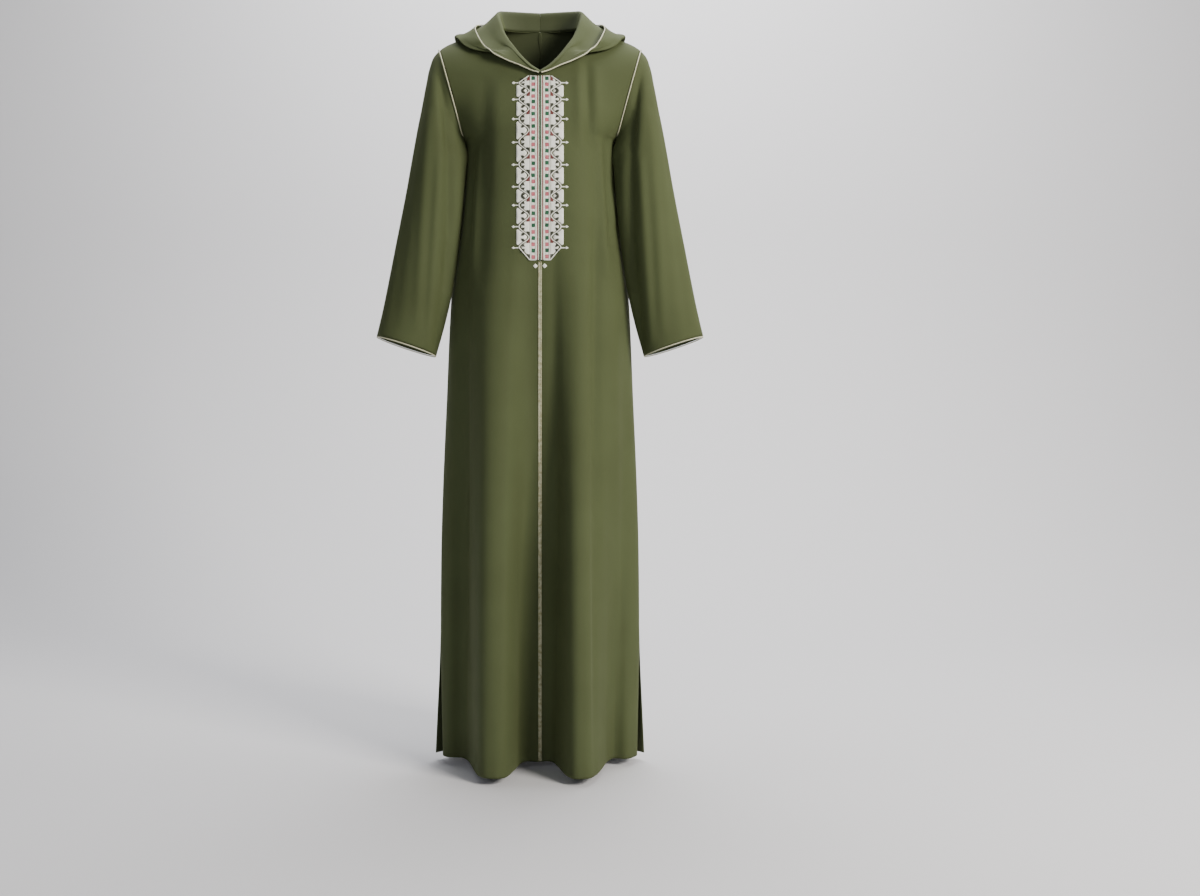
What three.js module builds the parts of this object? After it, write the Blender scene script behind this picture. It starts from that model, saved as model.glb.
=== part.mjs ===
import * as THREE from 'three';
import { mergeVertices } from 'three/addons/utils/BufferGeometryUtils.js';

// A long hooded abaya as it hangs on a wearer who isn't there.
// Millimetres, +Z up. The front faces -Y, and left and right are as seen from the front.
// The origin is the middle of the neck, level with the shoulder seams where they meet the neck.

// Driving dimensions
const CLOTH = 2;
const SEAM_GAP = 0.3;
const HEM_Z = -1410;
const SLIT_TOP_Z = -1195;
const ARMPIT_Z = -222;
const ARMPIT_X = 144;
const SHOULDER_X = 193;
const SHOULDER_Z = -44;
const ARMHOLE_DEPTH = 62;
const NECK_BOTTOM = { y: -93, z: -109 };
const NAPE = { y: 60, z: 11.5 };
const SHOULDER_AT_NECK = 0.6;
const PIPING_RADIUS = 1.4;
const BRAID_WIDTH = 7;
const BRAID_THICKNESS = 1.3;
const PLACKET_THICKNESS = 1.4;
const PLACKET_TOP_Z = -115.5;
const PLACKET_BOTTOM_Z = -457;
const PLACKET_INNER_X = 6.2;
const PLACKET_OUTER_X = 44;
const PICOT_REACH = 8;
const CLOSURE_WIDTH = 5.4;
const CLOSURE_THICKNESS = 1.8;

const OLIVE = 0x5e623f;
const CREAM = 0xd9d6c6;

// Makes a table of rows with named columns
function table(columns, rows) {
  return rows.map((row) => Object.fromEntries(columns.map((name, i) => [name, row[i]])));
}

// Reads every column of a table at a place along its first column, on a smooth curve
function readTable(rows, at) {
  const names = Object.keys(rows[0]);
  const key = names[0];
  const rising = rows[rows.length - 1][key] > rows[0][key] ? 1 : -1;
  let i = 0;
  while (i < rows.length - 2 && (at - rows[i + 1][key]) * rising > 0) {
    i += 1;
  }
  const a = rows[i];
  const b = rows[i + 1];
  const before = rows[Math.max(i - 1, 0)];
  const after = rows[Math.min(i + 2, rows.length - 1)];
  const span = b[key] - a[key];
  const t = THREE.MathUtils.clamp((at - a[key]) / span, 0, 1);
  const out = {};
  for (const name of names) {
    const slopeA = ((b[name] - before[name]) / (b[key] - before[key])) * span;
    const slopeB = ((after[name] - a[name]) / (after[key] - a[key])) * span;
    const rest = a[name] * (1 + 2 * t) * (1 - t) ** 2 + b[name] * t * t * (3 - 2 * t);
    out[name] = rest + slopeA * t * (1 - t) ** 2 - slopeB * t * t * (1 - t);
  }
  return out;
}

// Body: half width and depths of the level sections from the hem up to the armpits
const BODY = table(
  ['z', 'half', 'front', 'back'],
  [
    [HEM_Z, 195, 60, 60],
    [SLIT_TOP_Z, 195, 65, 66],
    [-1000, 193, 71, 71],
    [-850, 188, 79, 76],
    [-714, 181.5, 87, 80],
    [-577, 175.5, 95, 83],
    [-500, 170.5, 99, 84],
    [-441, 163, 102, 84],
    [-324, 147.5, 107, 84],
    [-260, 141.5, 107, 84],
    [ARMPIT_Z, ARMPIT_X, 106, 84],
  ],
);

// The two long folds that fall from the bust to the hem, soft at the top and tube-like at the hem
const LOBES = table(
  ['z', 'xLeft', 'xRight', 'reach', 'spread', 'roundness'],
  [
    [HEM_Z, -86, 79, 103, 42, 3.8],
    [-1104, -84, 80, 80, 46, 3.3],
    [-909, -82, 81, 62, 50, 2.8],
    [-714, -80, 80, 45, 57, 2.3],
    [-441, -76, 77, 22, 65, 2],
    [-207, -72, 73, 9, 70, 2],
    [-110, -70, 70, 0, 70, 2],
  ],
);

// Smaller front folds, a ridge where the reach is positive and a trough where it is negative
const FRONT_FOLDS = table(
  ['x', 'topZ', 'reach', 'spread'],
  [
    [-154, -700, -13, 13],
    [-122, -820, 9, 8],
    [-30, -760, -6, 12],
    [18, -560, -9, 14],
    [140, -640, -15, 15],
    [168, -900, 7, 9],
  ],
);

// Folds of the back, which hang from the shoulder blades
const BACK_FOLDS = table(
  ['x', 'topZ', 'reach', 'spread'],
  [
    [-146, -620, 20, 17],
    [-92, -330, 46, 27],
    [-42, -640, -9, 16],
    [6, -420, 34, 24],
    [58, -700, -8, 15],
    [101, -300, 44, 28],
    [152, -560, 17, 16],
  ],
);

// Neck edge of the body panels, from the bottom of the V round one side to the nape
const NECKLINE = table(
  ['at', 'x', 'y', 'z'],
  [
    [0, 0, NECK_BOTTOM.y, NECK_BOTTOM.z],
    [0.12, 19, -87, -96.5],
    [0.24, 36, -76, -78],
    [0.36, 51, -59, -55],
    [0.48, 64.5, -35, -28],
    [SHOULDER_AT_NECK, 75, 0, 0],
    [0.72, 68.5, 28, 6],
    [0.86, 41, 51, 10],
    [1, 0, NAPE.y, NAPE.z],
  ],
);

// Armhole: a flat loop that leans outward, where the turn is 0 at the shoulder and 180 at the armpit
const ARMHOLE_CENTRE = new THREE.Vector3((SHOULDER_X + ARMPIT_X) / 2, 0, (SHOULDER_Z + ARMPIT_Z) / 2);
const ARMHOLE_UP = new THREE.Vector3((SHOULDER_X - ARMPIT_X) / 2, 0, (SHOULDER_Z - ARMPIT_Z) / 2);
const ARMHOLE_OUT = new THREE.Vector3(ARMHOLE_UP.z, 0, -ARMHOLE_UP.x).normalize();

function armholePoint(degrees, towardFront) {
  const angle = THREE.MathUtils.degToRad(degrees);
  const point = ARMHOLE_CENTRE.clone().addScaledVector(ARMHOLE_UP, Math.cos(angle));
  point.y = -towardFront * ARMHOLE_DEPTH * Math.sin(angle);
  return point;
}

function bell(distance, spread) {
  return Math.exp(-0.5 * (distance / spread) ** 2);
}

function tube(distance, spread, roundness) {
  return Math.exp(-(Math.abs(distance / spread) ** roundness));
}

function foldsFrom(folds, x, z) {
  let reach = 0;
  for (const fold of folds) {
    const fall = THREE.MathUtils.clamp((fold.topZ - z) / (fold.topZ - HEM_Z), 0, 1);
    reach += fold.reach * Math.pow(fall, 0.8) * bell(x - fold.x, fold.spread);
  }
  return reach;
}

function frontFolds(x, z) {
  const lobe = readTable(LOBES, z);
  const left = tube(x - lobe.xLeft, lobe.spread, lobe.roundness);
  const right = tube(x - lobe.xRight, lobe.spread * 1.04, lobe.roundness);
  return lobe.reach * (left + right) + foldsFrom(FRONT_FOLDS, x, z);
}

function backFolds(x, z) {
  return foldsFrom(BACK_FOLDS, x, z);
}

// How each upper row of a panel leaves the middle and reaches the armhole
const FRONT_UPPER = table(
  ['row', 'turn', 'leaveX', 'leaveY', 'leaveZ', 'meetX', 'meetY', 'meetZ'],
  [
    [0, 180, 84, 0, 0, 0, -58, 0],
    [0.5, 138, 78, 0, 0, -16, -40, 2],
    [1, 96, 66, 1, 1, -44, -16, 9],
    [1.35, 68, 48, 5, -1, -44, -9, 13],
    [1.7, 36, 44, 3, -7, -34, -3, 18],
    [2, 0, 44, 0, -13, -9, 0, 18],
  ],
);
const BACK_UPPER = table(
  ['row', 'turn', 'leaveX', 'leaveY', 'leaveZ', 'meetX', 'meetY', 'meetZ'],
  [
    [0, 180, 80, 0, 0, 0, 54, 0],
    [0.5, 122, 76, 0, 0, -36, 20, 6],
    [1, 62, 62, 2, -3, -46, 9, 15],
    [1.5, 28, 46, -1, -8, -30, 3, 19],
    [2, 0, 44, 0, -13, -9, 0, 18],
  ],
);

// Each half panel is one sewn piece, stored as four stretches so that its collision pieces follow it
const FRONT = {
  toward: 1,
  columns: 19,
  skirtRows: 17,
  chestRows: 5,
  neckRows: 7,
  depth: 'front',
  slitWidening: -4,
  slitShift: -7,
  upper: FRONT_UPPER,
  topOfMiddle: NECK_BOTTOM,
  neckFrom: 0,
  edgeLean: 0,
  folds: frontFolds,
  stretches: table(['word', 'from', 'to'], [['hem', 0, 6], ['knee', 6, 12], ['hip', 12, 17], ['chest', 17, 29]]),
};
const BACK = {
  toward: -1,
  columns: 13,
  skirtRows: 14,
  chestRows: 5,
  neckRows: 5,
  depth: 'back',
  slitWidening: 11,
  slitShift: 6,
  upper: BACK_UPPER,
  topOfMiddle: NAPE,
  neckFrom: 1,
  edgeLean: 1,
  folds: backFolds,
  stretches: table(['word', 'from', 'to'], [['hem', 0, 5], ['knee', 5, 10], ['hip', 10, 14], ['chest', 14, 24]]),
};

// The turn round the armhole at which a row above the armpit ends
function turnAt(panel, row) {
  const chest = (row - panel.skirtRows) / panel.chestRows;
  const neck = (row - panel.skirtRows - panel.chestRows) / panel.neckRows;
  return readTable(panel.upper, chest <= 1 ? chest : 1 + neck).turn;
}

// The four control points of a panel's row, from its middle to its side
function rowControls(panel, row) {
  const out = -panel.toward;
  const gap = SEAM_GAP / 2;
  if (row <= panel.skirtRows) {
    const z = THREE.MathUtils.lerp(HEM_Z, ARMPIT_Z, row / panel.skirtRows);
    const body = readTable(BODY, z);
    const depth = body[panel.depth];
    const open = THREE.MathUtils.clamp((SLIT_TOP_Z - z) / (SLIT_TOP_Z - HEM_Z), 0, 1);
    const half = body.half + panel.slitWidening * open;
    const middle = new THREE.Vector3(gap, out * depth, z);
    const side = new THREE.Vector3(half, panel.slitShift * open + out * gap, z);
    const leave = new THREE.Vector3(half * 0.58, 0, 0);
    const meet = new THREE.Vector3(-36 * open * panel.edgeLean, out * depth * 0.52, 0);
    return [middle, middle.clone().add(leave), side.clone().add(meet), side];
  }
  const chest = (row - panel.skirtRows) / panel.chestRows;
  const neck = (row - panel.skirtRows - panel.chestRows) / panel.neckRows;
  const upper = readTable(panel.upper, chest <= 1 ? chest : 1 + neck);
  const side = armholePoint(upper.turn, panel.toward);
  side.y += out * gap;
  let middle = new THREE.Vector3(gap, 0, 0);
  if (chest <= 1) {
    const low = readTable(BODY, ARMPIT_Z)[panel.depth] * out;
    const ease = chest * chest * (2 - chest);
    middle.y = THREE.MathUtils.lerp(low, panel.topOfMiddle.y, ease);
    middle.z = THREE.MathUtils.lerp(ARMPIT_Z, panel.topOfMiddle.z, chest);
  } else {
    const place = THREE.MathUtils.lerp(panel.neckFrom, SHOULDER_AT_NECK, neck);
    const edge = readTable(NECKLINE, place);
    middle = new THREE.Vector3(Math.max(edge.x, gap), edge.y + out * gap * neck, edge.z);
  }
  const leave = new THREE.Vector3(upper.leaveX, upper.leaveY, upper.leaveZ);
  const meet = new THREE.Vector3(upper.meetX, upper.meetY, upper.meetZ);
  return [middle, middle.clone().add(leave), side.clone().add(meet), side];
}

// A point of a panel, where across runs from 0 at the middle to 1 at the side
function panelPoint(panel, sideSign, across, row) {
  const [a, b, c, d] = rowControls(panel, row);
  const rest = 1 - across;
  const point = new THREE.Vector3()
    .addScaledVector(a, rest ** 3)
    .addScaledVector(b, 3 * rest * rest * across)
    .addScaledVector(c, 3 * rest * across * across)
    .addScaledVector(d, across ** 3);
  point.x *= sideSign;
  const steady = 1 - across ** 5;
  point.y -= panel.toward * panel.folds(point.x, point.z) * steady;
  return point;
}

function rowCount(panel) {
  return panel.skirtRows + panel.chestRows + panel.neckRows;
}

// Turns a grid of outer points into normals that point away from the cloth's right side
function gridNormals(grid, closed, seams) {
  const rows = grid.length;
  const columns = grid[0].length;
  return grid.map((line, i) => line.map((point, j) => {
    const down = grid[Math.max(i - 1, 0)][j];
    const up = grid[Math.min(i + 1, rows - 1)][j];
    const left = closed ? line[(j + columns - 1) % columns] : line[Math.max(j - 1, 0)];
    const right = closed ? line[(j + 1) % columns] : line[Math.min(j + 1, columns - 1)];
    const along = up.clone().sub(down);
    const normal = right.clone().sub(left).cross(along).normalize();
    for (const plane of seams(i, j)) {
      normal.addScaledVector(plane, -normal.dot(plane));
    }
    return normal.normalize();
  }));
}

// Closes an outer grid and the same grid moved inward into one wall of cloth
function wallGeometry(grid, normals, closed, thickness) {
  const rows = grid.length;
  const columns = grid[0].length;
  const inner = grid.map((line, i) => line.map((p, j) => p.clone().addScaledVector(normals[i][j], -thickness)));
  const positions = [];
  const quad = (a, b, c, d) => {
    for (const corner of [a, b, c, a, c, d]) {
      positions.push(corner.x, corner.y, corner.z);
    }
  };
  const lastColumn = closed ? columns : columns - 1;
  for (let i = 0; i < rows - 1; i += 1) {
    for (let j = 0; j < lastColumn; j += 1) {
      const k = (j + 1) % columns;
      quad(grid[i][j], grid[i][k], grid[i + 1][k], grid[i + 1][j]);
      quad(inner[i][j], inner[i + 1][j], inner[i + 1][k], inner[i][k]);
    }
  }
  for (let j = 0; j < lastColumn; j += 1) {
    const k = (j + 1) % columns;
    quad(grid[0][j], inner[0][j], inner[0][k], grid[0][k]);
    quad(grid[rows - 1][j], grid[rows - 1][k], inner[rows - 1][k], inner[rows - 1][j]);
  }
  if (!closed) {
    for (let i = 0; i < rows - 1; i += 1) {
      quad(grid[i][0], grid[i + 1][0], inner[i + 1][0], inner[i][0]);
      quad(grid[i][columns - 1], inner[i][columns - 1], inner[i + 1][columns - 1], grid[i + 1][columns - 1]);
    }
  }
  return solidFrom(positions);
}

// Joins loose triangles into one closed geometry with shared corners
function solidFrom(positions) {
  const geometry = new THREE.BufferGeometry();
  const rounded = positions.map((value) => Math.round(value * 1e4) / 1e4);
  geometry.setAttribute('position', new THREE.Float32BufferAttribute(rounded, 3));
  const solid = mergeVertices(geometry, 1e-3);
  solid.computeVertexNormals();
  return solid;
}

// Swaps the two ends of every row, for pieces on the left
function mirrored(grid) {
  return grid.map((line) => line.map((p) => new THREE.Vector3(-p.x, p.y, p.z)).reverse());
}

const abaya = new THREE.Group();

function addPiece(name, geometry, colour, roughness) {
  const material = new THREE.MeshStandardMaterial({ color: colour, roughness, metalness: 0 });
  const piece = new THREE.Mesh(geometry, material);
  piece.name = name;
  abaya.add(piece);
}

// Front and back panels, each in two halves with a seam down the middle
const ACROSS = new THREE.Vector3(1, 0, 0);
const FRONT_TO_BACK = new THREE.Vector3(0, 1, 0);
const UP = new THREE.Vector3(0, 0, 1);

function panelGrid(panel, sideSign) {
  const grid = [];
  for (let row = 0; row <= rowCount(panel); row += 1) {
    const line = [];
    for (let j = 0; j <= panel.columns; j += 1) {
      line.push(panelPoint(panel, sideSign, (j / panel.columns) ** 1.2, row));
    }
    grid.push(sideSign * panel.toward > 0 ? line : line.reverse());
  }
  return grid;
}

function panelSeams(panel, sideSign) {
  const flipped = sideSign * panel.toward < 0;
  const slitRow = panel.skirtRows * (SLIT_TOP_Z - HEM_Z) / (ARMPIT_Z - HEM_Z);
  const armholePlane = ARMHOLE_OUT.clone().setX(ARMHOLE_OUT.x * sideSign);
  return (row, j) => {
    const column = flipped ? panel.columns - j : j;
    if (row === rowCount(panel)) {
      return [FRONT_TO_BACK];
    }
    if (column === 0) {
      return row <= panel.skirtRows + panel.chestRows ? [ACROSS] : [];
    }
    if (column === panel.columns) {
      if (row > panel.skirtRows) {
        const hold = THREE.MathUtils.clamp((150 - turnAt(panel, row)) / 50, 0, 1);
        return [armholePlane.clone().multiplyScalar(Math.sqrt(hold))];
      }
      return row > slitRow ? [FRONT_TO_BACK] : [];
    }
    return [];
  };
}

// One stretch of a panel, cut level at its ends, half a seam gap short of the next stretch
function stretchGeometry(panel, sideSign, stretch) {
  const whole = panelGrid(panel, sideSign);
  const seams = panelSeams(panel, sideSign);
  const cuts = [];
  if (stretch.from > 0) {
    cuts.push({ row: stretch.from, shift: SEAM_GAP / 2 });
  }
  if (stretch.to < rowCount(panel)) {
    cuts.push({ row: stretch.to, shift: -SEAM_GAP / 2 });
  }
  const normals = gridNormals(whole, false, (row, j) => {
    const planes = seams(row, j);
    return cuts.some((cut) => cut.row === row) ? [...planes, UP] : planes;
  });
  for (const cut of cuts) {
    whole[cut.row].forEach((point) => {
      point.z += cut.shift;
    });
  }
  const within = (rows) => rows.slice(stretch.from, stretch.to + 1);
  return wallGeometry(within(whole), within(normals), false, CLOTH);
}

const SIDES = [{ word: 'left', sign: -1 }, { word: 'right', sign: 1 }];

for (const side of SIDES) {
  for (const [word, panel] of [['front', FRONT], ['back', BACK]]) {
    for (const stretch of panel.stretches) {
      const wall = stretchGeometry(panel, side.sign, stretch);
      addPiece(`${word}_${side.word}_${stretch.word}`, wall, OLIVE, 0.85);
    }
  }
}

// Cloth that would sink into the panels is pushed clear of them. Samples lie on the panels' flat facets.
const SAMPLE_ROWS = 4;
const SAMPLE_COLUMNS = 2;
const panelSamples = [];
for (const panel of [FRONT, BACK]) {
  const grid = panelGrid(panel, 1);
  const normals = gridNormals(grid, false, panelSeams(panel, 1));
  const blend = (values, i, j, s, t) => values[i][j].clone().lerp(values[i + 1][j], s)
    .lerp(values[i][j + 1].clone().lerp(values[i + 1][j + 1], s), t);
  for (let i = 0; i < grid.length - 1; i += 1) {
    for (let j = 0; j < panel.columns; j += 1) {
      for (let s = 0; s <= SAMPLE_ROWS; s += 1) {
        for (let t = 0; t <= SAMPLE_COLUMNS; t += 1) {
          const [down, over] = [s / SAMPLE_ROWS, t / SAMPLE_COLUMNS];
          panelSamples.push({
            point: blend(grid, i, j, down, over),
            normal: blend(normals, i, j, down, over).normalize(),
          });
        }
      }
    }
  }
}

function clearOfPanels(point, clear) {
  let nearest = panelSamples[0];
  let least = Infinity;
  for (const sample of panelSamples) {
    const distance = sample.point.distanceToSquared(point);
    if (distance < least) {
      least = distance;
      nearest = sample;
    }
  }
  const height = point.clone().sub(nearest.point).dot(nearest.normal);
  if (height < clear) {
    point.addScaledVector(nearest.normal, clear - height);
  }
}

// Sleeves: rings from the armhole to the cuff, each given by its edge next to the body and its outer edge
const SLEEVE_RINGS = table(
  ['at', 'bodyX', 'bodyZ', 'outerX', 'outerZ', 'forward', 'depth', 'backDrop'],
  [
    [0, ARMPIT_X, ARMPIT_Z, SHOULDER_X, SHOULDER_Z, 0, 62, 0],
    [0.04, 145.5, -229, 204, -57, -3, 61.5, 0],
    [0.1, 144, -244, 212.5, -84, -10, 60, 0],
    [0.2, 141, -284, 222, -140, -24, 57, 0],
    [0.34, 144.5, -345, 237, -218, -34, 53, 1],
    [0.5, 153.5, -420, 254.5, -316, -37, 49, 2],
    [0.7, 166.5, -505, 276, -424, -36, 46, 3],
    [0.87, 184.5, -580, 298, -530, -32, 45, 3.5],
    [1, 199, -629, 313, -592, -30, 45, 4],
  ],
);
const SLEEVE_SIDES = 20;
const SLEEVE_ROWS = 12;
const SLEEVE_CLEAR = 1.6;

function sleevePoint(place, turn) {
  const ring = readTable(SLEEVE_RINGS, place);
  const middle = new THREE.Vector3((ring.bodyX + ring.outerX) / 2, ring.forward, (ring.bodyZ + ring.outerZ) / 2);
  const half = new THREE.Vector3((ring.outerX - ring.bodyX) / 2, 0, (ring.outerZ - ring.bodyZ) / 2);
  const point = middle.addScaledVector(half, Math.cos(turn));
  point.y -= ring.depth * Math.sin(turn);
  point.z += ring.backDrop * Math.sin(turn);
  return point;
}

function sleeveGrid() {
  const grid = [];
  for (let row = 0; row <= SLEEVE_ROWS; row += 1) {
    const place = (row / SLEEVE_ROWS) ** 1.35;
    const line = [];
    for (let j = 0; j < SLEEVE_SIDES; j += 1) {
      const point = sleevePoint(place, (2 * Math.PI * j) / SLEEVE_SIDES);
      if (row === 0) {
        point.addScaledVector(ARMHOLE_OUT, SEAM_GAP + 0.05);
      } else if (point.z < ARMPIT_Z) {
        clearOfPanels(point, SLEEVE_CLEAR);
      }
      line.push(point);
    }
    grid.push(line);
  }
  return grid;
}

const sleeveRight = sleeveGrid();
for (const side of SIDES) {
  const grid = side.sign > 0 ? sleeveRight : mirrored(sleeveRight);
  const plane = ARMHOLE_OUT.clone().setX(ARMHOLE_OUT.x * side.sign);
  const normals = gridNormals(grid, true, (row) => (row === 0 ? [plane] : []));
  addPiece(`sleeve_${side.word}`, wallGeometry(grid, normals, true, CLOTH), OLIVE, 0.85);
}

// Hood, pushed back: it rises from the neck to a crest and falls outward. At the front it lies flat down
// to its free edge. From the shoulders back (curl 1) it falls into a bag and rises again to the edge.
const HOOD = table(
  [
    'at', 'crestX', 'crestY', 'crestZ', 'foldX', 'foldY', 'foldZ',
    'edgeX', 'edgeY', 'edgeZ', 'crestRadius', 'foldRadius', 'curl',
  ],
  [
    [0, 0, -97, -107, 0, -101, -110, 0, -104, -112, 1.5, 3.4, 0],
    [0.12, 18, -92, -94, 19, -96, -101, 18.5, -97.5, -103.3, 1.6, 3.6, 0],
    [0.24, 34.5, -81, -75, 38, -91, -92, 38, -93.5, -94, 1.8, 4, 0],
    [0.36, 49.5, -64, -51.5, 64, -84, -81, 60, -87, -84, 2, 4.2, 0],
    [0.46, 60, -48, -33, 92, -75, -70.5, 87, -81, -69.5, 2.5, 4.5, 0.7],
    [0.54, 68.5, -31, -13, 123, -61, -58, 104, -67, -55, 3, 4.8, 1],
    [0.6, 74.5, -13, 9, 145, -46, -44, 113.7, -59, -40.5, 3, 4, 1],
    [0.66, 79, 8, 28, 159, -24, -25, 121.2, -40, -22, 3, 4, 1],
    [0.74, 77, 31, 42, 164, 24, -16, 126.3, -8, 0.7, 3, 4.5, 1],
    [0.82, 62, 49, 48, 144, 76, -66, 112, 50, 21, 3, 6, 1],
    [0.91, 34, 62, 51, 86, 103, -158, 64, 99, 27, 3, 8, 1],
    [1, 0, 68, 51.5, 0, 116, -268, 0, 121, 27, 3, 8, 1],
  ],
);
const HOOD_STATIONS = 20;
const FALL_SAG = 9;

// The path of the hood's right side at one place round the neck, from the neck seam to the free edge
function hoodPath(at) {
  const hood = readTable(HOOD, at);
  const neck = readTable(NECKLINE, at);
  const seam = new THREE.Vector3(neck.x, neck.y, neck.z + SEAM_GAP + 0.1);
  const crest = new THREE.Vector3(hood.crestX, hood.crestY, hood.crestZ);
  const fold = new THREE.Vector3(hood.foldX, hood.foldY, hood.foldZ);
  const edge = new THREE.Vector3(hood.edgeX, hood.edgeY, hood.edgeZ);
  const outward = fold.clone().sub(crest).setZ(0).normalize();
  const under = crest.clone().addScaledVector(outward, 2 * hood.crestRadius);
  under.z -= hood.crestRadius;
  const fall = fold.clone().sub(under).normalize();
  const centre = fold.clone().addScaledVector(fall, -hood.foldRadius);
  const away = edge.clone().sub(centre);
  away.addScaledVector(fall, -away.dot(fall)).normalize();
  const lower = under.clone().lerp(edge, 0.6);
  const tip = under.clone().lerp(edge, 0.7);
  const upper = under.clone().lerp(edge, 0.8);
  lower.lerp(centre.clone().addScaledVector(away, -hood.foldRadius), hood.curl);
  tip.lerp(fold, hood.curl);
  upper.lerp(centre.clone().addScaledVector(away, hood.foldRadius), hood.curl);
  const sag = FALL_SAG * hood.curl;
  return { seam, crest, outward, under, lower, tip, upper, edge, sag, radius: hood.crestRadius };
}

function hoodLine(at) {
  const path = hoodPath(at);
  const top = path.crest.clone().addScaledVector(path.outward, path.radius);
  const rise = path.crest.clone();
  rise.z -= path.radius;
  const mix = (a, b, t) => a.clone().lerp(b, t);
  const fall = (t) => mix(path.under, path.lower, t).add(new THREE.Vector3(0, 0, -path.sag));
  const line = [
    path.seam,
    mix(path.seam, rise, 0.5),
    rise,
    top,
    path.under,
    fall(0.33),
    fall(0.67),
    path.lower,
    path.tip,
    path.upper,
    mix(path.upper, path.edge, 0.34),
    mix(path.upper, path.edge, 0.67),
    path.edge,
  ];
  for (const point of line) {
    point.x = Math.max(point.x, SEAM_GAP / 2);
  }
  return line;
}

const HOOD_CLEAR = 3.4;
const LAST_RISING_COLUMN = 4;
const hoodRight = [];
for (let station = 0; station <= HOOD_STATIONS; station += 1) {
  const line = hoodLine(station / HOOD_STATIONS);
  line.slice(LAST_RISING_COLUMN).forEach((point) => clearOfPanels(point, HOOD_CLEAR));
  hoodRight.push(line.reverse());
}
for (const side of SIDES) {
  const grid = side.sign > 0 ? hoodRight : mirrored(hoodRight);
  const normals = gridNormals(grid, false, (row) => (row === 0 || row === HOOD_STATIONS ? [ACROSS] : []));
  addPiece(`hood_${side.word}`, wallGeometry(grid, normals, false, CLOTH), OLIVE, 0.85);
}

// Piping: round cord along a list of places, open at both ends or joined into a ring
function cordGeometry(route, radius, sides, ring) {
  const curve = new THREE.CatmullRomCurve3(route, ring);
  const steps = ring ? route.length : route.length - 1;
  const frames = curve.computeFrenetFrames(steps, ring);
  const positions = [];
  const rings = [];
  for (let i = 0; i <= steps; i += 1) {
    const centre = curve.getPoint(i / steps);
    const points = [];
    for (let j = 0; j < sides; j += 1) {
      const turn = (2 * Math.PI * j) / sides;
      points.push(centre.clone()
        .addScaledVector(frames.normals[i], Math.cos(turn) * radius)
        .addScaledVector(frames.binormals[i], Math.sin(turn) * radius));
    }
    rings.push(points);
  }
  if (ring) {
    rings[steps] = rings[0];
  }
  const triangle = (a, b, c) => {
    for (const corner of [a, b, c]) {
      positions.push(corner.x, corner.y, corner.z);
    }
  };
  for (let i = 0; i < steps; i += 1) {
    for (let j = 0; j < sides; j += 1) {
      const k = (j + 1) % sides;
      triangle(rings[i][j], rings[i][k], rings[i + 1][k]);
      triangle(rings[i][j], rings[i + 1][k], rings[i + 1][j]);
    }
  }
  if (!ring) {
    for (let j = 1; j < sides - 1; j += 1) {
      triangle(rings[0][0], rings[0][j + 1], rings[0][j]);
      triangle(rings[steps][0], rings[steps][j], rings[steps][j + 1]);
    }
  }
  return solidFrom(positions);
}

function mirrorRoute(route) {
  return route.map((point) => new THREE.Vector3(-point.x, point.y, point.z)).reverse();
}

const CORD_SIDES = 6;
const CORD_CLEAR = PIPING_RADIUS + SEAM_GAP + 0.1;
const TRIM_CLEAR = SEAM_GAP + 0.25;

// Armhole piping lies on the seam between body and sleeve, from just above the armpit over the shoulder
const ARMHOLE_PIPING_END = 150;
const ARMHOLE_PIPING_STEPS = 24;

function sleeveNormal(turn) {
  const step = 0.02;
  const here = sleevePoint(0, turn);
  const along = sleevePoint(step, turn).sub(here);
  const round = sleevePoint(0, turn + step).sub(here);
  return round.cross(along).normalize();
}

function panelNormal(panel, across, row) {
  const step = 0.02;
  const here = panelPoint(panel, 1, across, row);
  const inward = here.clone().sub(panelPoint(panel, 1, across - step, row));
  const down = here.clone().sub(panelPoint(panel, 1, across, row - step));
  return inward.cross(down).normalize().multiplyScalar(panel.toward);
}

// The row of a panel whose end lies at a turn round the armhole
function rowAtTurn(panel, turn) {
  let low = panel.skirtRows;
  let high = rowCount(panel);
  for (let pass = 0; pass < 30; pass += 1) {
    const middle = (low + high) / 2;
    if (turnAt(panel, middle) > turn) {
      low = middle;
    } else {
      high = middle;
    }
  }
  return high;
}

const armholeRoute = [];
for (let i = 0; i <= ARMHOLE_PIPING_STEPS; i += 1) {
  const turn = THREE.MathUtils.lerp(ARMHOLE_PIPING_END, -ARMHOLE_PIPING_END, i / ARMHOLE_PIPING_STEPS);
  const panel = turn > 0 ? FRONT : BACK;
  const bodyNormal = panelNormal(panel, 1, rowAtTurn(panel, Math.abs(turn)));
  const lift = bodyNormal.add(sleeveNormal(THREE.MathUtils.degToRad(turn))).multiplyScalar(0.5);
  const height = (CORD_CLEAR + 0.2) / Math.max(lift.length(), 0.5);
  armholeRoute.push(armholePoint(turn, 1).addScaledVector(lift.normalize(), height));
}

// Cuff piping closes the end of each sleeve
const cuffRoute = [];
for (let j = 0; j < SLEEVE_SIDES; j += 1) {
  const last = sleeveRight[SLEEVE_ROWS][j];
  const before = sleeveRight[SLEEVE_ROWS - 1][j];
  const along = last.clone().sub(before).normalize();
  const inward = ringMiddle(sleeveRight[SLEEVE_ROWS]).sub(last).normalize();
  cuffRoute.push(last.clone().addScaledVector(along, CORD_CLEAR).addScaledVector(inward, CLOTH / 2));
}

function ringMiddle(points) {
  const middle = new THREE.Vector3();
  points.forEach((point) => middle.addScaledVector(point, 1 / points.length));
  return middle;
}

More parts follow.
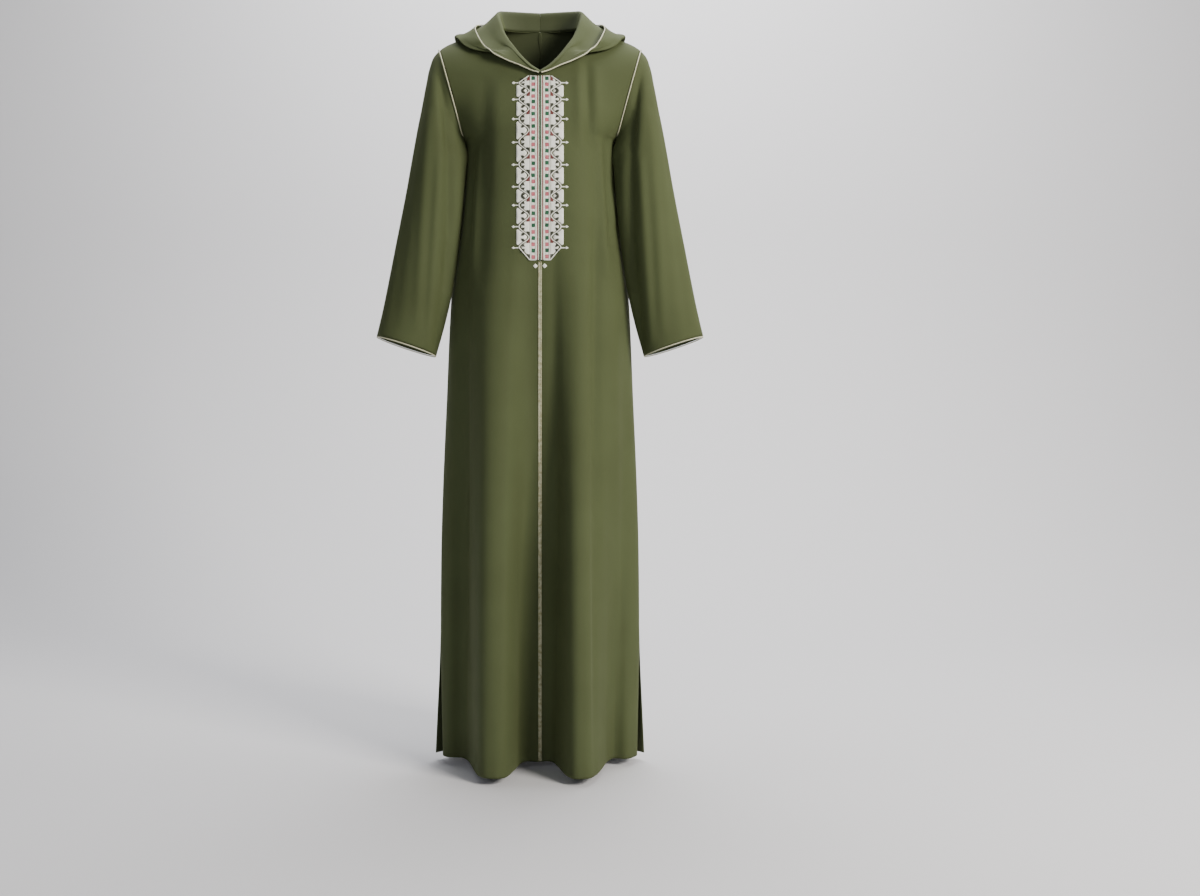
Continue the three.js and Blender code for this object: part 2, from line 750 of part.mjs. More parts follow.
for (const side of SIDES) {
  const armhole = side.sign > 0 ? armholeRoute : mirrorRoute(armholeRoute);
  const cuff = side.sign > 0 ? cuffRoute : mirrorRoute(cuffRoute);
  addPiece(`armhole_piping_${side.word}`, cordGeometry(armhole, PIPING_RADIUS, CORD_SIDES, false), CREAM, 0.7);
  addPiece(`cuff_piping_${side.word}`, cordGeometry(cuff, PIPING_RADIUS, CORD_SIDES, true), CREAM, 0.7);
}

// Hood piping runs on the free edge from one side of the V round the back to the other
const hoodHalfRoute = hoodRight.map((line, i) => {
  const edge = line[0];
  const beyond = edge.clone().sub(line[1]).normalize();
  const next = hoodRight[Math.min(i + 1, HOOD_STATIONS)][0];
  const tangent = next.clone().sub(hoodRight[Math.max(i - 1, 0)][0]).normalize();
  beyond.addScaledVector(tangent, -beyond.dot(tangent)).normalize();
  const intoBag = tangent.cross(beyond).normalize();
  return edge.clone().addScaledVector(beyond, CORD_CLEAR + 0.1).addScaledVector(intoBag, -CLOTH / 2);
});
hoodHalfRoute[0].lerp(hoodHalfRoute[1], 0.22);
hoodHalfRoute[HOOD_STATIONS].x = 0;
const hoodRoute = [...hoodHalfRoute, ...mirrorRoute(hoodHalfRoute.slice(0, -1))];
addPiece('hood_piping', cordGeometry(hoodRoute, PIPING_RADIUS, CORD_SIDES, false), CREAM, 0.7);

// Finds the place on the front's flat facets where x and z are as asked, with its outward direction
const frontFacets = {};
for (const side of SIDES) {
  const grid = panelGrid(FRONT, side.sign);
  frontFacets[side.sign] = { grid, normals: gridNormals(grid, false, panelSeams(FRONT, side.sign)) };
}

function frontAt(x, z) {
  const { grid, normals } = frontFacets[x < 0 ? -1 : 1];
  let best = null;
  for (let i = 0; i < grid.length - 1; i += 1) {
    for (let j = 0; j < grid[0].length - 1; j += 1) {
      for (const corners of [[[i, j], [i, j + 1], [i + 1, j + 1]], [[i, j], [i + 1, j + 1], [i + 1, j]]]) {
        const [a, b, c] = corners.map(([row, column]) => grid[row][column]);
        const scale = (b.x - a.x) * (c.z - a.z) - (b.z - a.z) * (c.x - a.x);
        const toB = ((x - a.x) * (c.z - a.z) - (z - a.z) * (c.x - a.x)) / scale;
        const toC = ((b.x - a.x) * (z - a.z) - (b.z - a.z) * (x - a.x)) / scale;
        const inside = Math.min(toB, toC, 1 - toB - toC);
        if (!best || inside > best.inside) {
          best = { inside, corners, shares: [1 - toB - toC, toB, toC] };
        }
      }
    }
  }
  const point = new THREE.Vector3();
  const normal = new THREE.Vector3();
  best.corners.forEach(([row, column], n) => {
    point.addScaledVector(grid[row][column], best.shares[n]);
    normal.addScaledVector(normals[row][column], best.shares[n]);
  });
  return { point, normal: normal.normalize() };
}

// A strip of trim that lies on the front, from rows of x places, raised by its own thickness
function trimGeometry(rows, thickness) {
  const grid = rows.map((row) => row.xs.map((x) => {
    const place = frontAt(x, row.z);
    return place.point.addScaledVector(place.normal, TRIM_CLEAR + thickness);
  }));
  return wallGeometry(grid, gridNormals(grid, false, () => []), false, thickness);
}

// Centre braid, over the seam from the placket to the hem
const BRAID_ROWS = 30;
const braidRows = [];
for (let i = 0; i <= BRAID_ROWS; i += 1) {
  const z = THREE.MathUtils.lerp(HEM_Z + 1, PLACKET_BOTTOM_Z - 1, i / BRAID_ROWS);
  braidRows.push({ z, xs: [-BRAID_WIDTH / 2, 0, BRAID_WIDTH / 2] });
}
addPiece('centre_braid', trimGeometry(braidRows, BRAID_THICKNESS), CREAM, 0.8);

// Placket: a raised band of embroidery on each side of the closure, with a scalloped and picoted edge
const SCALLOP_HALF = 19;
const TAPER_TOP_X = 18;
const TAPER_BOTTOM_X = 17;

// Heights of the picots, a little unevenly spaced as in hand work
const PICOTS = table(['z'], [[-128.5], [-161], [-198], [-241], [-282.5], [-322.9], [-356.7], [-395.8], [-434.5]]);
const TOP_PICOT = PICOTS[0].z;
const LOWEST_PICOT = PICOTS[PICOTS.length - 1].z;

// Outer edge of the placket against the distance from the nearest picot
const SCALLOP = table(
  ['away', 'reach'],
  [
    [0, PICOT_REACH],
    [2.6, PICOT_REACH * 0.5],
    [4.6, -4],
    [9, 1.5],
    [SCALLOP_HALF, 2.5],
  ],
);

function placketOuter(z) {
  if (z > TOP_PICOT) {
    const t = (z - TOP_PICOT) / (PLACKET_TOP_Z - TOP_PICOT);
    return THREE.MathUtils.lerp(PLACKET_OUTER_X, TAPER_TOP_X, t);
  }
  if (z < LOWEST_PICOT - 3) {
    const t = (LOWEST_PICOT - 3 - z) / (LOWEST_PICOT - 3 - PLACKET_BOTTOM_Z);
    return THREE.MathUtils.lerp(PLACKET_OUTER_X - 2, TAPER_BOTTOM_X, t);
  }
  const away = Math.min(...PICOTS.map((picot) => Math.abs(picot.z - z)));
  let i = 0;
  while (i < SCALLOP.length - 2 && away > SCALLOP[i + 1].away) {
    i += 1;
  }
  const t = (away - SCALLOP[i].away) / (SCALLOP[i + 1].away - SCALLOP[i].away);
  return PLACKET_OUTER_X + THREE.MathUtils.lerp(SCALLOP[i].reach, SCALLOP[i + 1].reach, t);
}

function placketHeights() {
  const heights = [PLACKET_BOTTOM_Z, PLACKET_TOP_Z];
  PICOTS.forEach(({ z }, n) => {
    const middle = n + 1 < PICOTS.length ? (z + PICOTS[n + 1].z) / 2 : z - SCALLOP_HALF;
    for (const height of [z + 9, z + 4.6, z + 2.6, z, z - 2.6, z - 4.6, z - 9, middle]) {
      if (height < TOP_PICOT + 2 && height > PLACKET_BOTTOM_Z + 6) {
        heights.push(height);
      }
    }
  });
  return heights.sort((a, b) => a - b);
}

for (const side of SIDES) {
  const rows = placketHeights().map((z) => {
    const outer = placketOuter(z);
    const xs = [0, 0.34, 0.68, 1].map((t) => side.sign * THREE.MathUtils.lerp(PLACKET_INNER_X, outer, t));
    return { z, xs: side.sign > 0 ? xs : xs.reverse() };
  });
  addPiece(`placket_${side.word}`, trimGeometry(rows, PLACKET_THICKNESS), CREAM, 0.8);
}

// Closure: the two edges that meet down the middle, each a narrow band of fine cords
const CLOSURE_ROWS = 24;
for (const side of SIDES) {
  const rows = [];
  for (let i = 0; i <= CLOSURE_ROWS; i += 1) {
    const z = THREE.MathUtils.lerp(PLACKET_BOTTOM_Z + 1, PLACKET_TOP_Z, i / CLOSURE_ROWS);
    const xs = [SEAM_GAP, CLOSURE_WIDTH / 2, CLOSURE_WIDTH].map((x) => side.sign * x);
    rows.push({ z, xs: side.sign > 0 ? xs : xs.reverse() });
  }
  addPiece(`closure_band_${side.word}`, trimGeometry(rows, CLOSURE_THICKNESS), CREAM, 0.7);
}

// Two small diamonds of embroidery under the placket, one each side of the braid
const DIAMOND_HALF = 4.2;
const DIAMOND_TIP = 0.6;
const DIAMOND_X = 8.6;
const DIAMOND_Z = -467;
for (const side of SIDES) {
  const middle = side.sign * DIAMOND_X;
  const rows = [-1, 0, 1].map((t) => {
    const half = DIAMOND_HALF * (1 - Math.abs(t)) + DIAMOND_TIP;
    return { z: DIAMOND_Z + t * DIAMOND_HALF, xs: [middle - half, middle, middle + half] };
  });
  addPiece(`diamond_${side.word}`, trimGeometry(rows, PLACKET_THICKNESS), CREAM, 0.8);
}

export default abaya;
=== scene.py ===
import math
import random

import bmesh
import bpy
import numpy as np
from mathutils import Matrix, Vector
from mathutils.bvhtree import BVHTree


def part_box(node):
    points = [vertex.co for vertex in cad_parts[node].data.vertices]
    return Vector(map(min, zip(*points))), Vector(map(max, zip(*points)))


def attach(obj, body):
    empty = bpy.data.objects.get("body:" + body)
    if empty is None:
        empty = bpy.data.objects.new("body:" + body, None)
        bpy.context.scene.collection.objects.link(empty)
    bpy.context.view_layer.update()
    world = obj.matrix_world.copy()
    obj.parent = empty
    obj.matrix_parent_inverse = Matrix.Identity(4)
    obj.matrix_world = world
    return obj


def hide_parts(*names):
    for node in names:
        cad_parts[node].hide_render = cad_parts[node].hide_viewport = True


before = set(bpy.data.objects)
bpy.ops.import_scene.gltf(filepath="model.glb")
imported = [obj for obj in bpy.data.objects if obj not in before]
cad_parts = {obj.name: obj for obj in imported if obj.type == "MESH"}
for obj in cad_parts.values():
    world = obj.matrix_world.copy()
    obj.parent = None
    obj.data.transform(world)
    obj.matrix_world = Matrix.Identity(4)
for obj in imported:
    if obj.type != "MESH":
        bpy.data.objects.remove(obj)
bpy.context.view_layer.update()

# The view: the robe is seen straight from the front, from just above knee height, 2.3 m away.
# It hangs a little left of the picture's middle, so the lens is shifted, and the lens looks
# slightly down to bring the hem in.
CAMERA_AWAY = 2.30
CAMERA_Z = -0.720
PICTURE_WIDTH = 1200
PIXELS_PER_METRE = 1 / 0.00195
ROBE_MIDDLE_PIXEL = 540
PICTURE_MIDDLE_PIXEL = 600
HORIZON_ABOVE_MIDDLE = 45
focal_pixels = CAMERA_AWAY * PIXELS_PER_METRE

camera_data = bpy.data.cameras.new("camera")
camera_data.sensor_width = 36
camera_data.lens = 36 * focal_pixels / PICTURE_WIDTH
camera_data.shift_x = (PICTURE_MIDDLE_PIXEL - ROBE_MIDDLE_PIXEL) / PICTURE_WIDTH
camera = bpy.data.objects.new("camera", camera_data)
bpy.context.scene.collection.objects.link(camera)
camera.location = (0, -CAMERA_AWAY, CAMERA_Z)
camera.rotation_euler = (math.radians(90) - math.atan(HORIZON_ABOVE_MIDDLE / focal_pixels), 0, 0)
bpy.context.scene.camera = camera


# The studio: a sweep of pale grey paper that runs up behind the robe, with a large soft lamp
# to the right, which leaves the left side of each fold dark, a weak one on the left, and a
# lamp for the paper.
def linear(colour):
    """Turns an sRGB hex colour into linear red, green, blue and alpha."""
    parts = [int(colour[i:i + 2], 16) / 255 for i in (1, 3, 5)]
    return tuple(p / 12.92 if p <= 0.04045 else ((p + 0.055) / 1.055) ** 2.4 for p in parts) + (1,)


def add(material, kind, links=(), **settings):
    """Adds a node, sets its properties and sockets, and links its inputs to other nodes' outputs."""
    tree = material.node_tree
    made = tree.nodes.new(kind)
    for name, value in settings.items():
        if hasattr(made, name):
            setattr(made, name, value)
        else:
            made.inputs[name.replace("_", " ")].default_value = value
    for socket, source in links:
        node, output = source if isinstance(source, tuple) else (source, 0)
        tree.links.new(node.outputs[output], made.inputs[socket])
    return made


def new_material(name):
    """A material with an empty node tree."""
    material = bpy.data.materials.new(name)
    material.use_nodes = True
    material.node_tree.nodes.clear()
    return material


def finish_material(material, shader):
    """Gives a material its output node."""
    add(material, "ShaderNodeOutputMaterial", links=[("Surface", shader)])
    return material


PAPER = "#d6d6d9"
FLOOR_Z = -1.425
SWEEP_WIDTH = 14
SWEEP_DEPTH = 9
SWEEP_MIDDLE_Y = -2.0
SWEEP_RISE = 7
SWEEP_BEND = 1.4
paper = new_material("seamless studio paper")
finish_material(paper, add(
    paper, "ShaderNodeBsdfPrincipled", Base_Color=linear(PAPER), Roughness=0.95,
))

bpy.ops.object.select_all(action="DESELECT")
bpy.ops.mesh.primitive_plane_add(size=1, location=(0, SWEEP_MIDDLE_Y, FLOOR_Z))
sweep = bpy.context.object
sweep.name = "studio_sweep"
sweep.scale = (SWEEP_WIDTH, SWEEP_DEPTH, 1)
bpy.ops.object.transform_apply(location=True, rotation=True, scale=True)
mesh = bmesh.new()
mesh.from_mesh(sweep.data)
back_edge = [e for e in mesh.edges if all(v.co.y > 0 for v in e.verts)]
raised = bmesh.ops.extrude_edge_only(mesh, edges=back_edge)
for vert in [g for g in raised["geom"] if isinstance(g, bmesh.types.BMVert)]:
    vert.co.z += SWEEP_RISE
bend = [e for e in mesh.edges if all(v.co.z < 0 < v.co.y for v in e.verts)]
bmesh.ops.bevel(mesh, geom=bend, offset=SWEEP_BEND, segments=16, profile=0.5, affect="EDGES")
mesh.to_mesh(sweep.data)
mesh.free()
for face in sweep.data.polygons:
    face.use_smooth = True
sweep.data.materials.append(paper)

world = bpy.data.worlds.new("studio air")
world.use_nodes = True
world.node_tree.nodes["Background"].inputs["Color"].default_value = linear("#e9ebf0")
world.node_tree.nodes["Background"].inputs["Strength"].default_value = 0.13
bpy.context.scene.world = world


def lamp(name, place, aim, size, watts, colour):
    """A square soft box that faces a point."""
    data = bpy.data.lights.new(name, "AREA")
    data.shape = "SQUARE"
    data.size = size
    data.energy = watts
    data.color = linear(colour)[:3]
    made = bpy.data.objects.new(name, data)
    bpy.context.scene.collection.objects.link(made)
    made.location = place
    made.rotation_euler = (Vector(aim) - Vector(place)).to_track_quat("-Z", "Y").to_euler()


lamp("key_softbox", (2.6, -2.4, 0.9), (0, 0, -0.7), 1.2, 205, "#fff9f0")
lamp("fill_softbox", (-1.2, -3.4, 0.2), (0, 0, -0.8), 2.0, 20, "#f2f4ff")
lamp("backdrop_lamp", (0.3, 0.9, 1.9), (0.2, 2.6, -0.9), 2.4, 150, "#ffffff")


# The cloth: a soft, matt olive crepe. Each panel is a thin shell that is lofted through the
# rows of its own solid, so that it keeps the solid's form, and is then creased.
WALL = 0.002
SAME_LENGTH = 6e-7
SAME_PLACE = 1e-5
CREPE_THICKNESS = 0.0012
FINE_STEP = 0.005
SEAM_HOLD = 0.02


def solid_rows(node, way, closed=False):
    """Reads the side of a wall of cloth that reaches furthest one way, as rows of places. Edges as
    long as the wall is thick belong to its rims, which are left out."""
    mesh = bmesh.new()
    mesh.from_mesh(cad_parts[node].data)
    bmesh.ops.remove_doubles(mesh, verts=mesh.verts, dist=SAME_PLACE)
    rims = [f for f in mesh.faces if any(abs(e.calc_length() - WALL) < SAME_LENGTH for e in f.edges)]
    bmesh.ops.delete(mesh, geom=rims, context="FACES")
    way = Vector(way)
    found = {max(mesh.verts, key=lambda v: v.co.dot(way))}
    edge_of_search = list(found)
    while edge_of_search:
        vert = edge_of_search.pop()
        for edge in vert.link_edges:
            other = edge.other_vert(vert)
            if other not in found:
                found.add(other)
                edge_of_search.append(other)
    bmesh.ops.delete(mesh, geom=[v for v in mesh.verts if v not in found], context="VERTS")

    used = set()

    def across(a, b):
        """The face on an edge that isn't used yet, and its third corner."""
        edge = mesh.edges.get((a, b))
        for face in edge.link_faces:
            if face not in used:
                used.add(face)
                return next(v for v in face.verts if v not in (a, b))
        return None

    def follow(start, step):
        """Walks a boundary from a vertex until a corner or the start comes round."""
        line = [start, step]
        while True:
            ahead = [
                e.other_vert(line[-1]) for e in line[-1].link_edges
                if e.is_boundary and e.other_vert(line[-1]) is not line[-2]
            ]
            if ahead[0] is start:
                return line
            line.append(ahead[0])
            if len(line[-1].link_faces) < 3 and not closed:
                return line

    if closed:
        start = max((v for v in mesh.verts if v.is_boundary), key=lambda v: v.co.z)
        step = next(e.other_vert(start) for e in start.link_edges if e.is_boundary)
        row = follow(start, step)
        third = [next(v for v in mesh.edges.get((a, b)).link_faces[0].verts if v not in (a, b))
                 for a, b in zip(row, row[1:] + row[:1])]
        nearer = sum((t.co - b.co).length - (t.co - a.co).length
                     for t, a, b in zip(third, row, row[1:] + row[:1]))
        if nearer > 0:
            row = [row[0]] + row[:0:-1]
    else:
        corners = [v for v in mesh.verts if v.is_boundary and len(v.link_faces) == 2]
        start = min(corners, key=lambda v: v.co.z - v.co.y * 0.01)
        steps = [e.other_vert(start) for e in start.link_edges if e.is_boundary]
        step = min(steps, key=lambda v: abs(v.co.z - start.co.z))
        row = follow(start, step)

    rows = [row]
    while True:
        pairs = list(zip(row, row[1:] + row[:1])) if closed else list(zip(row, row[1:]))
        above = [None] * len(row)
        for j, (a, b) in enumerate(pairs):
            third = across(a, b)
            if third is None:
                points = np.array([[v.co[:] for v in line] for line in rows])
                mesh.free()
                return points
            above[(j + 1) % len(row)] = third
            left = across(a, third)
            if above[j] is None:
                above[j] = left
        row = above
        rows.append(row)


def spacing(points):
    """Knots along the first axis, as the mean distance from row to row."""
    gaps = np.linalg.norm(np.diff(points, axis=0), axis=-1).mean(axis=1)
    return np.concatenate([[0], np.cumsum(gaps)])


def loft(points, step, closed=False):
    """Places along a smooth curve through the rows on the first axis, about one step apart."""
    if closed:
        points = np.concatenate([points[-3:], points, points[:3]])
    knots = spacing(points)
    first, last = (3, len(points) - 3) if closed else (0, len(points) - 1)
    count = max(2, round((knots[last] - knots[first]) / step))
    at = np.linspace(knots[first], knots[last], count + 1)
    slopes = np.diff(points, axis=0) / np.diff(knots)[:, None, None]
    width = np.diff(knots)[:, None, None]
    tangents = np.empty_like(points)
    tangents[1:-1] = (slopes[:-1] * width[1:] + slopes[1:] * width[:-1]) / (width[1:] + width[:-1])
    tangents[0] = 1.5 * slopes[0] - 0.5 * tangents[1]
    tangents[-1] = 1.5 * slopes[-1] - 0.5 * tangents[-2]
    i = np.clip(np.searchsorted(knots, at, side="right") - 1, 0, len(knots) - 2)
    span = (knots[i + 1] - knots[i])[:, None, None]
    t = ((at - knots[i])[:, None, None]) / span
    a, b, p, q = points[i], points[i + 1], tangents[i] * span, tangents[i + 1] * span
    fine = (2 * t**3 - 3 * t**2 + 1) * a + (t**3 - 2 * t**2 + t) * p
    fine += (3 * t**2 - 2 * t**3) * b + (t**3 - t**2) * q
    return fine[:-1] if closed else fine


def fine_rows(points, closed=False, step=FINE_STEP):
    """The same surface with rows and columns about one step apart."""
    fine = loft(points, step)
    return loft(fine.transpose(1, 0, 2), step, closed).transpose(1, 0, 2)


def grid_normals(points, closed=False):
    """Unit normals of a grid of places."""
    along = np.gradient(points, axis=0)
    if closed:
        wrapped = np.concatenate([points[:, -1:], points, points[:, :1]], axis=1)
        round_it = np.gradient(wrapped, axis=1)[:, 1:-1]
    else:
        round_it = np.gradient(points, axis=1)
    normal = np.cross(round_it, along)
    return normal / np.maximum(np.linalg.norm(normal, axis=-1, keepdims=True), 1e-12)


def cloth_piece(name, points, closed, material, reverse):
    """Makes a grid of places into a thin shell with its lengths in metres as its UV map. Its reverse
    has a material of its own."""
    rows, columns = points.shape[:2]
    mesh = bpy.data.meshes.new(name)
    faces = []
    for i in range(rows - 1):
        for j in range(columns if closed else columns - 1):
            k = (j + 1) % columns
            base = i * columns
            faces.append((base + j, base + k, base + columns + k, base + columns + j))
    mesh.from_pydata(points.reshape(-1, 3).tolist(), [], faces)
    along = spacing(points)
    ring = np.concatenate([points, points[:, :1]], axis=1) if closed else points
    around = spacing(ring.transpose(1, 0, 2))
    uv = mesh.uv_layers.new(name="cut")
    for n, face in enumerate(mesh.polygons):
        i, j = divmod(n, columns if closed else columns - 1)
        for loop, (di, dj) in zip(face.loop_indices, ((0, 0), (0, 1), (1, 1), (1, 0))):
            uv.data[loop].uv = (around[j + dj], along[i + di])
    piece = bpy.data.objects.new(name, mesh)
    bpy.context.scene.collection.objects.link(piece)
    mesh.polygons.foreach_set("use_smooth", [True] * len(mesh.polygons))
    mesh.materials.append(material)
    mesh.materials.append(reverse)
    bpy.ops.object.select_all(action="DESELECT")
    piece.select_set(True)
    bpy.context.view_layer.objects.active = piece
    solidify = piece.modifiers.new("thickness", "SOLIDIFY")
    solidify.thickness = CREPE_THICKNESS
    solidify.offset = -1
    solidify.material_offset = 1
    solidify.material_offset_rim = 0
    bpy.ops.object.modifier_apply(modifier=solidify.name)
    return piece


def crease(points, creases, facing, closed=False):
    """Presses soft troughs and ridges, in mm as seen from the front, into the side that faces one way.
    They fade out near the top and the side seams, so that neighbouring pieces still meet."""
    normals = grid_normals(points)
    seen = points[..., (0, 2)]
    shift = np.zeros(points.shape[:2])
    for x0, z0, x1, z1, reach, width in creases:
        start, end = np.array([x0, z0]) / 1000, np.array([x1, z1]) / 1000
        run = end - start
        t = ((seen - start) @ run) / (run @ run)
        away = np.linalg.norm((seen - start) - t[..., None] * run, axis=-1) / (width / 1000)
        taper = np.clip(t, 0, 1) * np.clip(1 - t, 0, 1) * 4
        shift += reach / 1000 * np.exp(-away**2) * np.sqrt(taper)
    shift *= np.clip(2 * (normals @ np.array(facing)), 0, 1)
    rows, columns = points.shape[:2]
    from_end = (rows - 1 - np.arange(rows)) * FINE_STEP / SEAM_HOLD
    side_seam = 0 if abs(points[0, 0, 0]) > abs(points[0, -1, 0]) else columns - 1
    from_side = np.abs(np.arange(columns) - side_seam) * FINE_STEP / SEAM_HOLD
    if closed:
        from_end = np.minimum(from_end, np.arange(rows) * FINE_STEP / SEAM_HOLD)
        from_side = np.ones(columns)
    shift *= np.clip(from_end, 0, 1)[:, None] * np.clip(from_side, 0, 1)
    return points + normals * shift[..., None]


CREPE = "#495133"
CREPE_SHADE = "#434a2d"
# The wrong side's darker colours are also used as painted shade on the hood's stand behind the neck.
WRONG_SIDE_AND_STAND_SHADE = "#3f452c"
WRONG_SIDE_AND_STAND_SHADE_DARK = "#393f28"
SHEEN = "#a3a870"
HEM_HEIGHT = 0.022
STITCH_WIDTH = 0.0016


def crepe_material(name, light, dark, hemmed=False):
    """Fine crepe with a dry, uneven surface. Its threads of about 0.3 mm are drawn 0.5 to 1 mm wide so
    that they show. A hemmed panel also has a sunk line of stitches above its edge."""
    crepe = new_material(name)
    place = add(crepe, "ShaderNodeTexCoord")
    drift = add(crepe, "ShaderNodeTexNoise", [("Vector", (place, "Object"))], Scale=9.0, Detail=3.0)
    slub_map = add(crepe, "ShaderNodeMapping", [("Vector", (place, "UV"))], Scale=(260, 1900, 1))
    slub = add(crepe, "ShaderNodeTexNoise", [("Vector", slub_map)], Scale=1.0, Detail=2.0)
    grain_map = add(crepe, "ShaderNodeMapping", [("Vector", (place, "UV"))], Scale=(1500, 900, 1))
    grain = add(crepe, "ShaderNodeTexNoise", [("Vector", grain_map)], Scale=1.0, Detail=2.0)
    blend = add(crepe, "ShaderNodeMath", [(0, drift), (1, slub)], operation="ADD")
    half = add(crepe, "ShaderNodeMath", [(0, blend)], operation="MULTIPLY")
    half.inputs[1].default_value = 0.5
    shade = add(crepe, "ShaderNodeValToRGB", [("Fac", half)])
    shade.color_ramp.elements[0].position = 0.35
    shade.color_ramp.elements[0].color = linear(dark)
    shade.color_ramp.elements[1].position = 0.65
    shade.color_ramp.elements[1].color = linear(light)
    relief = add(crepe, "ShaderNodeMath", [(0, grain), (1, slub)], operation="ADD")
    if hemmed:
        cut = add(crepe, "ShaderNodeSeparateXYZ", [("Vector", (place, "UV"))])
        line = add(crepe, "ShaderNodeMath", [(0, (cut, "Y"))], operation="COMPARE")
        line.inputs[1].default_value = HEM_HEIGHT
        line.inputs[2].default_value = STITCH_WIDTH / 2
        deep = add(crepe, "ShaderNodeMath", [(0, line)], operation="MULTIPLY")
        deep.inputs[1].default_value = 2.5
        relief = add(crepe, "ShaderNodeMath", [(0, relief), (1, deep)], operation="SUBTRACT")
    bump = add(crepe, "ShaderNodeBump", [("Height", relief)], Strength=0.25, Distance=0.0004)
    return finish_material(crepe, add(
        crepe, "ShaderNodeBsdfPrincipled", [("Base Color", shade), ("Normal", bump)],
        Roughness=0.82, Specular_IOR_Level=0.22,
        Sheen_Weight=0.12, Sheen_Roughness=0.45, Sheen_Tint=linear(SHEEN),
    ))


crepe = crepe_material("olive crepe", CREPE, CREPE_SHADE)
hemmed_crepe = crepe_material("olive crepe with a stitched hem", CREPE, CREPE_SHADE, hemmed=True)
wrong_side_and_stand_shade = crepe_material("duller wrong side of the olive crepe", WRONG_SIDE_AND_STAND_SHADE, WRONG_SIDE_AND_STAND_SHADE_DARK)

SIDES = (("left", -1), ("right", 1))

# Front: two long halves with a seam down the middle, straight at the top and flared to the hem,
# where two deep folds fall from the bust. Drag lines run from the armpits, and the chest has soft
# vertical bands under the hood.
STRETCHES = ("hem", "knee", "hip", "chest")


def panel_rows(panel, way):
    """The rows of a half panel, through the four stretches that its solid is stored in."""
    rows = solid_rows(f"{panel}_{STRETCHES[0]}", way)
    for word in STRETCHES[1:]:
        more = solid_rows(f"{panel}_{word}", way)
        rows = np.concatenate([rows[:-1], [(rows[-1] + more[0]) / 2], more[1:]])
    return rows


# Each crease in mm: x and z of its start, x and z of its end, how far it stands out, and its width.
FRONT_CREASES = (
    (-131, -218, -139, -410, 4.2, 6),
    (-116, -235, -127, -475, 3.8, 7),
    (-123, -225, -133, -435, -4.5, 7),
    (-100, -245, -112, -505, -3.5, 12),
    (-76, -120, -86, -340, 2.4, 15),
    (-104, -110, -110, -320, -3.0, 15),
    (-56, -325, -66, -605, -2.0, 16),
    (-22, -440, -20, -1450, -9.0, 26),
    (-98, -480, -102, -1450, 5.0, 19),
    (-140, -420, -148, -1340, -8.0, 11),
    (-166, -600, -176, -1395, 3.0, 9),
    (132, -214, 141, -385, 4.2, 6),
    (113, -225, 126, -485, 4.4, 7),
    (122, -221, 134, -435, -4.8, 7),
    (98, -235, 110, -525, -3.5, 11),
    (70, -70, 74, -250, 3.0, 10),
    (87, -75, 92, -250, -3.6, 8),
    (104, -90, 109, -260, 3.0, 10),
    (26, -430, 27, -1450, -6.0, 13),
    (70, -470, 72, -1450, 5.0, 20),
    (105, -380, 107, -1440, -11.0, 11),
    (138, -430, 147, -1440, 8.0, 14),
)
fronts = {}
for word, _ in SIDES:
    rows = fine_rows(panel_rows(f"front_{word}", (0, -1, 0)))
    if grid_normals(rows)[10, 10, 1] > 0:
        rows = rows[:, ::-1]
    rows = crease(rows, FRONT_CREASES, (0, -1, 0))
    front = cloth_piece(f"front_{word}_cloth", rows, False, hemmed_crepe, wrong_side_and_stand_shade)
    fronts[word] = front
    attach(front, "root")
    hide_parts(*[f"front_{word}_{part}" for part in STRETCHES])

# Back: two halves like the front, cut higher at the neck and a little longer at the slits. Its folds
# hang from the shoulder blades, with short drag lines from the armholes.
BACK_CREASES = (
    (-128, -205, -136, -445, 3.6, 7),
    (-112, -195, -124, -505, -3.8, 9),
    (-70, -190, -84, -600, -2.8, 13),
    (-24, -380, -34, -860, 2.4, 12),
    (-142, -500, -152, -1000, 2.8, 10),
    (127, -215, 134, -420, 3.8, 7),
    (111, -205, 122, -555, -3.6, 9),
    (74, -220, 80, -560, -2.6, 14),
    (28, -420, 30, -790, 2.6, 12),
    (139, -530, 151, -900, -2.8, 10),
)
for word, _ in SIDES:
    rows = fine_rows(panel_rows(f"back_{word}", (0, 1, 0)))
    if grid_normals(rows)[10, 10, 1] < 0:
        rows = rows[:, ::-1]
    rows = crease(rows, BACK_CREASES, (0, 1, 0))
    back = cloth_piece(f"back_{word}_cloth", rows, False, hemmed_crepe, wrong_side_and_stand_shade)
    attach(back, "root")
    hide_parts(*[f"back_{word}_{part}" for part in STRETCHES])

# Sleeves: wide straight tubes of the same crepe, each with one seam, that hang from the armholes and
# lean on the body. Long soft folds run down them, deepest next to the body, and just under the
# armpit they sag round the side seam.
SLEEVE_CREASES = (
    (188, -70, 166, -250, -9.0, 12),
    (167, -170, 170, -510, -11.0, 12),
    (172, -420, 194, -640, -6.0, 10),
    (206, -170, 232, -590, 4.0, 10),
    (186, -260, 212, -620, 3.5, 8),
    (226, -150, 280, -590, -3.0, 12),
)
